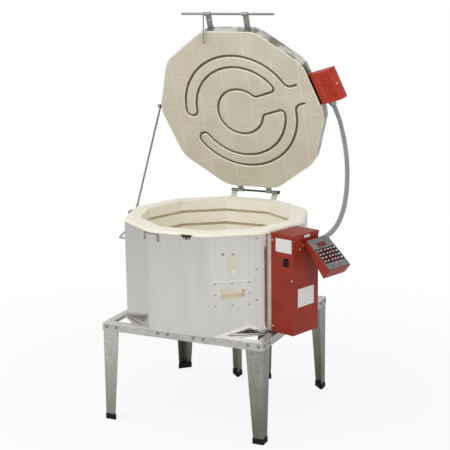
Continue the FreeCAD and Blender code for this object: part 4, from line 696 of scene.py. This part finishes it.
class KILN_OT_stand(bpy.types.Operator):
    """Dress the folded steel stand, its bolts and its feet"""

    bl_idname = "kiln.stand"
    bl_label = "Stand"

    def execute(self, context):
        dress("galvanised_steel", "stand_rail_front", "stand_rail_right", "stand_rail_back",
              "stand_rail_left", "cross_supports", "corner_braces", "floor_pan")
        # Painted light: the front left leg gets the lighter copy of the leg finish
        dress("galvanised_leg_painted_light", "leg_front_left")
        dress("galvanised_leg_painted_shade", "leg_front_right", "leg_back_left", "leg_back_right", "middle_legs")
        dress("bright_bolt_steel", "stand_bolts")
        dress("moulded_rubber_feet", "foot_caps")
        return {"FINISHED"}


class KILN_OT_brickwork(bpy.types.Operator):
    """Dress the brick wall and floor, and the thermocouple"""

    bl_idname = "kiln.brickwork"
    bl_label = "Brickwork"

    def execute(self, context):
        dress("insulating_wall_brick", "floor_slab", "brick_course_lower", "brick_course_middle",
              "brick_course_upper")
        dress("fired_terminal_ceramic", "thermocouple")
        return {"FINISHED"}


class KILN_OT_jacket(bpy.types.Operator):
    """Dress the sheet jacket, the pieces screwed to it and the hinge's rod"""

    bl_idname = "kiln.jacket"
    bl_label = "Jacket"

    def execute(self, context):
        dress("bright_stainless_sheet", "jacket", "window_plate")
        dress("heat_yellowed_cover", "peephole_cover")
        dress("dulled_zinc_steel", "lid_keeper", "hinge_straps_body")
        dress("zinc_plated_steel", "jacket_screws", "side_handles", "arm_catch")
        dress("black_oxide_steel", "hinge_rod", "front_stop")
        return {"FINISHED"}


class KILN_OT_lid(bpy.types.Operator):
    """Dress the lid, its band, its handle, its box and the arm that holds it up"""

    bl_idname = "kiln.lid"
    bl_label = "Lid"

    def execute(self, context):
        # The lid brick's darker tone is painted shade
        dress("lid_brick_painted_shade", "lid_slab")
        # The band's dark patches are painted reflection
        dress("band_with_painted_reflections", "lid_band")
        dress("zinc_plated_steel", "lid_hinge_straps", "lid_band_clamp")
        dress("dulled_zinc_steel", "handle_brackets", "latch_hook", "support_arm")
        dress("lacquered_bar_steel", "handle_bar")
        dress("black_oxide_steel", "arm_pivot_bolt", "lid_box_seat")
        # The terminal box's lighter red is painted light
        dress("red_powder_coat_painted_light", "lid_terminal_box")
        dress("fired_terminal_ceramic", "lid_terminal_block")
        return {"FINISHED"}


class KILN_OT_controls(bpy.types.Operator):
    """Dress the control box, what is in it, the controller and the conduit's connectors"""

    bl_idname = "kiln.controls"
    bl_label = "Controls"

    def execute(self, context):
        dress("galvanised_channel", "box_channel")
        dress("red_powder_coat", "control_box", "controller_housing", "controller_bracket")
        dress("nickel_plated_screws", "box_screws")
        dress("moulded_black_plastic", "rocker_bezel", "rocker", "relay", "power_terminal_block")
        dress("transformer_plates", "transformer")
        dress("grey_membrane_overlay", "controller_panel")
        dress("tinted_display_window", "display_window")
        dress("keypad_membrane", "keypad")
        dress("pink_lamp_lens", "indicator_lamps")
        dress("zinc_plated_steel", "conduit_connector_lid", "conduit_connector_box")
        return {"FINISHED"}


class KILN_OT_lid_element(bpy.types.Operator):
    """Wind the coiled wire into the lid's groove, and lead it out through the band"""

    bl_idname = "kiln.lid_element"
    bl_label = "Lid element"

    def execute(self, context):
        sizes = context.scene.kiln_element
        seat = LID_GROOVE_DEPTH - SEAT_GAP - sizes.coil_diameter / 2
        place = lid_matrix()
        points = [tuple(place @ Vector((x, y, seat))) for x, y in lid_element_points()]
        radius = (sizes.coil_diameter - sizes.wire_diameter) / 2
        line = coil_line(points, radius, sizes.pitch)
        mesh = tube_mesh("lid_coil", line, np.full(len(line), sizes.wire_diameter / 2), 5)
        piece = new_piece("lid_coil", mesh, "fired_resistance_wire", "lid")
        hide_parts("lid_element")
        lead_radius, lead_height = 2.4 * MM, 20 * MM
        for name, side in (("lid_lead_front", -LEAD_SIDE), ("lid_lead_back", LEAD_SIDE)):
            knee = [(LEAD_REACH, side, height * MM) for height in (8.5, 14, 19)]
            run = [(reach * MM, side, lead_height) for reach in (298, 330, 355, 378)]
            line, _ = resample([tuple(place @ Vector(point)) for point in knee + run], 2 * MM)
            mesh = tube_mesh(name, line, np.full(len(line), lead_radius), 10)
            new_piece(name, mesh, "fired_resistance_wire", "lid")
        return {"FINISHED"}


class KILN_OT_wall_elements(bpy.types.Operator):
    """Wind the coiled wire into the five grooves of the wall"""

    bl_idname = "kiln.wall_elements"
    bl_label = "Wall elements"

    def execute(self, context):
        sizes = context.scene.kiln_element
        apothem = 304 * MM
        corner = apothem / math.cos(math.pi / FACETS)
        step = 360 / FACETS
        half_gap = 15 * MM
        solid_radius = 4.5 * MM
        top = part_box("side_elements")[1][2] - solid_radius
        radius = (sizes.coil_diameter - sizes.wire_diameter) / 2
        place = facet_matrix(ELEMENT_FACET)
        for index, drop in enumerate((0, 57.15, 114.3, 154.45, 228.45)):
            z = top - drop * MM
            ends = [tuple(place @ Vector((apothem, side, z))) for side in (half_gap, -half_gap)]
            angles = [math.radians(ELEMENT_FACET + step / 2 + step * count)
                      for count in range(FACETS)]
            corners = [(corner * math.cos(angle), corner * math.sin(angle), z)
                       for angle in angles]
            path = [ends[0], *corners, ends[1]]
            line = coil_line(path, radius, sizes.wall_pitch, 7)
            name = "wall_coil_%d" % (index + 1)
            mesh = tube_mesh(name, line, np.full(len(line), sizes.wire_diameter / 2), 4)
            # The wall coils' near-white colour is painted light
            new_piece(name, mesh, "resistance_wire_painted_light", "base")
        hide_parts("side_elements")
        return {"FINISHED"}


class KILN_OT_conduit(bpy.types.Operator):
    """Wind the flexible conduit from the lid's box to the control box"""

    bl_idname = "kiln.conduit"
    bl_label = "Conduit"

    def execute(self, context):
        sizes = context.scene.kiln_conduit
        curve = bpy.data.curves.new("conduit_line", "CURVE")
        curve.dimensions = "3D"
        curve.resolution_u = 24
        spline = curve.splines.new("NURBS")
        spline.points.add(len(CONDUIT_ROUTE) - 1)
        for point, place in zip(spline.points, CONDUIT_ROUTE):
            point.co = (*place, 1.0)
        spline.order_u = 3
        spline.use_endpoint_u = True
        holder = bpy.data.objects.new("conduit_line", curve)
        context.scene.collection.objects.link(holder)
        context.view_layer.update()
        drawn = bpy.data.meshes.new_from_object(holder)
        path = [tuple(vert.co) for vert in drawn.vertices]
        bpy.data.objects.remove(holder)
        ring_step, sides = 0.7 * MM, 28
        groove_half, crown_height = 0.2, 0.25 * MM
        line, length = resample(path, ring_step)
        along = np.linspace(0, length, len(line))[:, None] / sizes.pitch
        around = np.arange(sides)[None, :] / sides
        phase = (along + around) % 1.0
        dip = np.clip(1.5 - np.abs(phase - 0.5) / groove_half, 0, 1)
        crown = 1 - np.clip(np.abs(phase - 0.5) * 2, 0, 1)
        radii = sizes.diameter / 2 - sizes.groove * dip - crown_height * crown
        mesh = tube_mesh("flexible_conduit", line, radii, sides)
        piece = new_piece("flexible_conduit", mesh, "conduit_steel_strip", None)
        # Painted shade: the faces in the grooves get the dark material
        mesh.materials.append(material("conduit_groove_shade"))
        middle = (phase[:-1] + 0.5 / sides + ring_step / 2 / sizes.pitch) % 1.0
        groove_shade_faces = np.zeros(len(mesh.polygons), dtype=np.int32)
        groove_shade_faces[:middle.size] = (np.abs(middle - 0.5) < groove_half).ravel()
        mesh.polygons.foreach_set("material_index", groove_shade_faces)
        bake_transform(piece)
        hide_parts("conduit")
        return {"FINISHED"}


class KILN_OT_labels(bpy.types.Operator):
    """Lay the three blank labels on the control box"""

    bl_idname = "kiln.labels"
    bl_label = "Labels"

    def execute(self, context):
        place = facet_matrix(ELEMENT_FACET)
        side = Matrix.Rotation(math.radians(90), 4, "X")
        left = -99 * MM
        outer = 481 * MM
        for name, spot, turn, width, height in (
                ("label_side", (433.5 * MM, left, 757 * MM), side, 77 * MM, 52 * MM),
                ("label_front", (outer, -24 * MM, 555 * MM), FACE_OUT, 96 * MM, 72 * MM),
                ("label_small", (outer + 2 * MM, -20 * MM, 789.5 * MM), FACE_OUT,
                 34 * MM, 10 * MM)):
            mesh = rounded_plate(name, width, height, thickness=0.35 * MM, corner=2.5 * MM,
                                 bevel=0.1 * MM)
            mesh.transform(place @ Matrix.Translation(spot) @ turn)
            new_piece(name, mesh, "coated_label_stock", "base")
        return {"FINISHED"}


class KILN_OT_small_parts(bpy.types.Operator):
    """Add the jacket's lap edge and the terminal box's two screws"""

    bl_idname = "kiln.small_parts"
    bl_label = "Lap edge and screws"

    def execute(self, context):
        low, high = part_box("jacket")[0][2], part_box("jacket")[1][2]
        mesh = rounded_plate("lap_edge", 1.6 * MM, high - low - 4 * MM, thickness=0.5 * MM,
                             corner=0.5 * MM, bevel=0.2 * MM)
        spot = Matrix.Translation((JACKET_APOTHEM, 79 * MM, (low + high) / 2))
        mesh.transform(facet_matrix(WINDOW_FACET) @ spot @ FACE_OUT)
        new_piece("lap_edge", mesh, "dulled_stainless_sheet", "base")
        heads = bmesh.new()
        for spot, tilt in (((357.3, -67.5, 20), 90), ((453, 5, 21), 135)):
            disc = rounded_plate("head", 7 * MM, 7 * MM, thickness=1.8 * MM, corner=3.4 * MM,
                                 bevel=0.6 * MM)
            turn = Matrix.Rotation(math.radians(tilt), 4, "Y")
            disc.transform(lid_matrix() @ Matrix.Translation(Vector(spot) * MM) @ turn)
            heads.from_mesh(disc)
            bpy.data.meshes.remove(disc)
        mesh = bpy.data.meshes.new("terminal_box_screws")
        heads.to_mesh(mesh)
        heads.free()
        new_piece("terminal_box_screws", mesh, "nickel_plated_screws", "lid")
        return {"FINISHED"}


class KILN_OT_keys(bpy.types.Operator):
    """Print the key faces of the controller's keypad"""

    bl_idname = "kiln.keys"
    bl_label = "Key faces"

    def execute(self, context):
        slope = math.radians(PANEL_SLOPE)
        up = Vector((-math.cos(slope), 0, math.sin(slope)))
        out = Vector((math.sin(slope), 0, math.cos(slope)))
        face = Matrix((Vector((0, 1, 0)), up, out)).transposed().to_4x4()
        corner = facet_matrix(ELEMENT_FACET) @ Matrix.Translation(PANEL_CORNER) @ face
        columns = [x * MM for x in (14, 33, 56, 74, 92, 111)]
        first_row, row_step, rows, height = 59 * MM, 16 * MM, 4, 2.1 * MM
        for name, finish, chosen in (("key_faces_pink", "pale_key_print", (0, 1, 2, 3, 4)),
                                     ("key_faces_white", "white_key_print", (5,))):
            shape = bmesh.new()
            for row in range(rows):
                for column in chosen:
                    plate = rounded_plate("key", 10 * MM, 6.6 * MM, thickness=0.35 * MM,
                                          corner=1.2 * MM, bevel=0.1 * MM, segments=3)
                    spot = (columns[column], -(first_row + row_step * row), height)
                    plate.transform(corner @ Matrix.Translation(spot))
                    shape.from_mesh(plate)
                    bpy.data.meshes.remove(plate)
            mesh = bpy.data.meshes.new(name)
            shape.to_mesh(mesh)
            shape.free()
            new_piece(name, mesh, finish, "base")
        return {"FINISHED"}


class KILN_OT_stage(bpy.types.Operator):
    """Set the camera, the lamps, the floor and the background"""

    bl_idname = "kiln.stage"
    bl_label = "Stage"

    def execute(self, context):
        settings = context.scene.kiln_stage
        self.place_camera(context, settings)
        self.place_lamps(context, settings)
        self.light_world(context, settings)
        self.lay_floor(context)
        context.scene.view_settings.view_transform = "Standard"
        return {"FINISHED"}

    def place_camera(self, context, settings):
        """The viewpoint of the photograph, a little right of the front and above the rim."""
        lens = bpy.data.cameras.new("camera")
        lens.lens = settings.focal_length
        lens.sensor_width = 36
        lens.clip_end = 50
        holder = bpy.data.objects.new("camera", lens)
        turn, down, roll = map(math.radians, (CAMERA_TURN, CAMERA_DOWN, CAMERA_ROLL))
        forward = Vector((-math.sin(turn) * math.cos(down), math.cos(turn) * math.cos(down),
                          -math.sin(down)))
        right = Vector((math.cos(turn), math.sin(turn), 0))
        up = right.cross(forward)
        across = right * math.cos(roll) + up * math.sin(roll)
        upward = up * math.cos(roll) - right * math.sin(roll)
        basis = Matrix((across, upward, -forward)).transposed().to_4x4()
        holder.matrix_world = Matrix.Translation(CAMERA_PLACE) @ basis
        context.scene.collection.objects.link(holder)
        context.scene.camera = holder

    def place_lamps(self, context, settings):
        """A large lamp high on the left and a softer one near the camera."""
        rim = Vector((0, 0, 0.8))
        for name, power, size, spot in (
                ("key_lamp", settings.key_power, 2.6, (-1.8, -2.4, 3.6)),
                ("fill_lamp", settings.fill_power, 2.2, (2.6, -2.8, 2.2))):
            lamp = bpy.data.lights.new(name, "AREA")
            lamp.energy = power
            lamp.size = size
            holder = bpy.data.objects.new(name, lamp)
            holder.location = spot
            away = Vector(spot) - rim
            holder.rotation_euler = away.to_track_quat("Z", "Y").to_euler()
            context.scene.collection.objects.link(holder)

    def light_world(self, context, settings):
        """Soft light from all round. The camera sees it as white, and bright metal nearly so."""
        world = bpy.data.worlds.new("studio")
        context.scene.world = world
        world.use_nodes = True
        tree = world.node_tree
        tree.nodes.clear()
        path = add(tree, "ShaderNodeLightPath").outputs
        seen = math_node(tree, "MAXIMUM", path["Is Camera Ray"], path["Is Transmission Ray"])
        glossy_share = 0.8
        glossy = math_node(tree, "MULTIPLY", path["Is Glossy Ray"], glossy_share)
        seen = math_node(tree, "MAXIMUM", seen, glossy)
        soft = add(tree, "ShaderNodeBackground", {"Color": (1, 1, 1, 1), "Strength": settings.sky})
        white = add(tree, "ShaderNodeBackground", {"Color": (1, 1, 1, 1), "Strength": 1.0})
        mixed = add(tree, "ShaderNodeMixShader",
                    {0: seen, 1: soft.outputs[0], 2: white.outputs[0]})
        add(tree, "ShaderNodeOutputWorld", {"Surface": mixed.outputs[0]})

    def lay_floor(self, context):
        """A pale floor that keeps a faint shadow near the kiln and turns white further out."""
        mesh = bpy.data.meshes.new("floor")
        half = 9
        mesh.from_pydata([(-half, -half, 0), (half, -half, 0), (half, half, 0), (-half, half, 0)],
                         [], [(0, 1, 2, 3)])
        piece = bpy.data.objects.new("floor", mesh)
        piece.location.z = -0.5 * MM
        context.scene.collection.objects.link(piece)
        made = bpy.data.materials.new("painted_studio_floor")
        made.use_nodes = True
        tree = made.node_tree
        tree.nodes.clear()
        paint = add(tree, "ShaderNodeBsdfDiffuse", {"Color": (0.9, 0.9, 0.9, 1)})
        glow = add(tree, "ShaderNodeEmission", {"Color": (1, 1, 1, 1), "Strength": 1.0})
        camera = add(tree, "ShaderNodeLightPath").outputs["Is Camera Ray"]
        place = add(tree, "ShaderNodeTexCoord").outputs["Object"]
        away = add(tree, "ShaderNodeVectorMath", {0: place}, operation="LENGTH").outputs["Value"]
        far = add(tree, "ShaderNodeMapRange",
                  {"Value": away, "From Min": 0.8, "From Max": 2.2, "To Min": 0.86, "To Max": 1.0})
        share = math_node(tree, "MULTIPLY", camera, far.outputs["Result"])
        mixed = add(tree, "ShaderNodeMixShader",
                    {0: share, 1: paint.outputs[0], 2: glow.outputs[0]})
        add(tree, "ShaderNodeOutputMaterial", {"Surface": mixed.outputs[0]})
        mesh.materials.append(made)


OPERATORS = (KILN_OT_stage, KILN_OT_stand, KILN_OT_brickwork, KILN_OT_jacket, KILN_OT_lid,
             KILN_OT_controls, KILN_OT_lid_element, KILN_OT_wall_elements, KILN_OT_conduit,
             KILN_OT_labels, KILN_OT_keys, KILN_OT_small_parts)
SETTINGS = (("kiln_element", KilnElementSettings), ("kiln_conduit", KilnConduitSettings),
            ("kiln_stage", KilnStageSettings))


class KILN_PT_panel(bpy.types.Panel):
    """Lists the pieces of the kiln and their settings"""

    bl_idname = "KILN_PT_panel"
    bl_label = "Electric Kiln"
    bl_space_type = "VIEW_3D"
    bl_region_type = "UI"
    bl_category = "Kiln"

    def draw(self, context):
        layout = self.layout
        for name, group in SETTINGS:
            settings = getattr(context.scene, name)
            for field in group.__annotations__:
                layout.prop(settings, field)
        for operator in OPERATORS:
            layout.operator(operator.bl_idname)


def register():
    """Register the settings, the operators and the panel."""
    for name, group in SETTINGS:
        bpy.utils.register_class(group)
        setattr(bpy.types.Scene, name, bpy.props.PointerProperty(type=group))
    for operator in OPERATORS:
        bpy.utils.register_class(operator)
    bpy.utils.register_class(KILN_PT_panel)


def unregister():
    """Take them out again."""
    bpy.utils.unregister_class(KILN_PT_panel)
    for operator in reversed(OPERATORS):
        bpy.utils.unregister_class(operator)
    for name, group in reversed(SETTINGS):
        delattr(bpy.types.Scene, name)
        bpy.utils.unregister_class(group)


def main():
    """Register the kiln's settings, operators and panel, and dress the whole kiln."""
    register()
    bpy.ops.kiln.stage()
    bpy.ops.kiln.stand()
    bpy.ops.kiln.brickwork()
    bpy.ops.kiln.jacket()
    bpy.ops.kiln.lid()
    bpy.ops.kiln.controls()
    bpy.ops.kiln.lid_element()
    bpy.ops.kiln.wall_elements()
    bpy.ops.kiln.conduit()
    bpy.ops.kiln.labels()
    bpy.ops.kiln.keys()
    bpy.ops.kiln.small_parts()


if __name__ == "__main__":
    main()
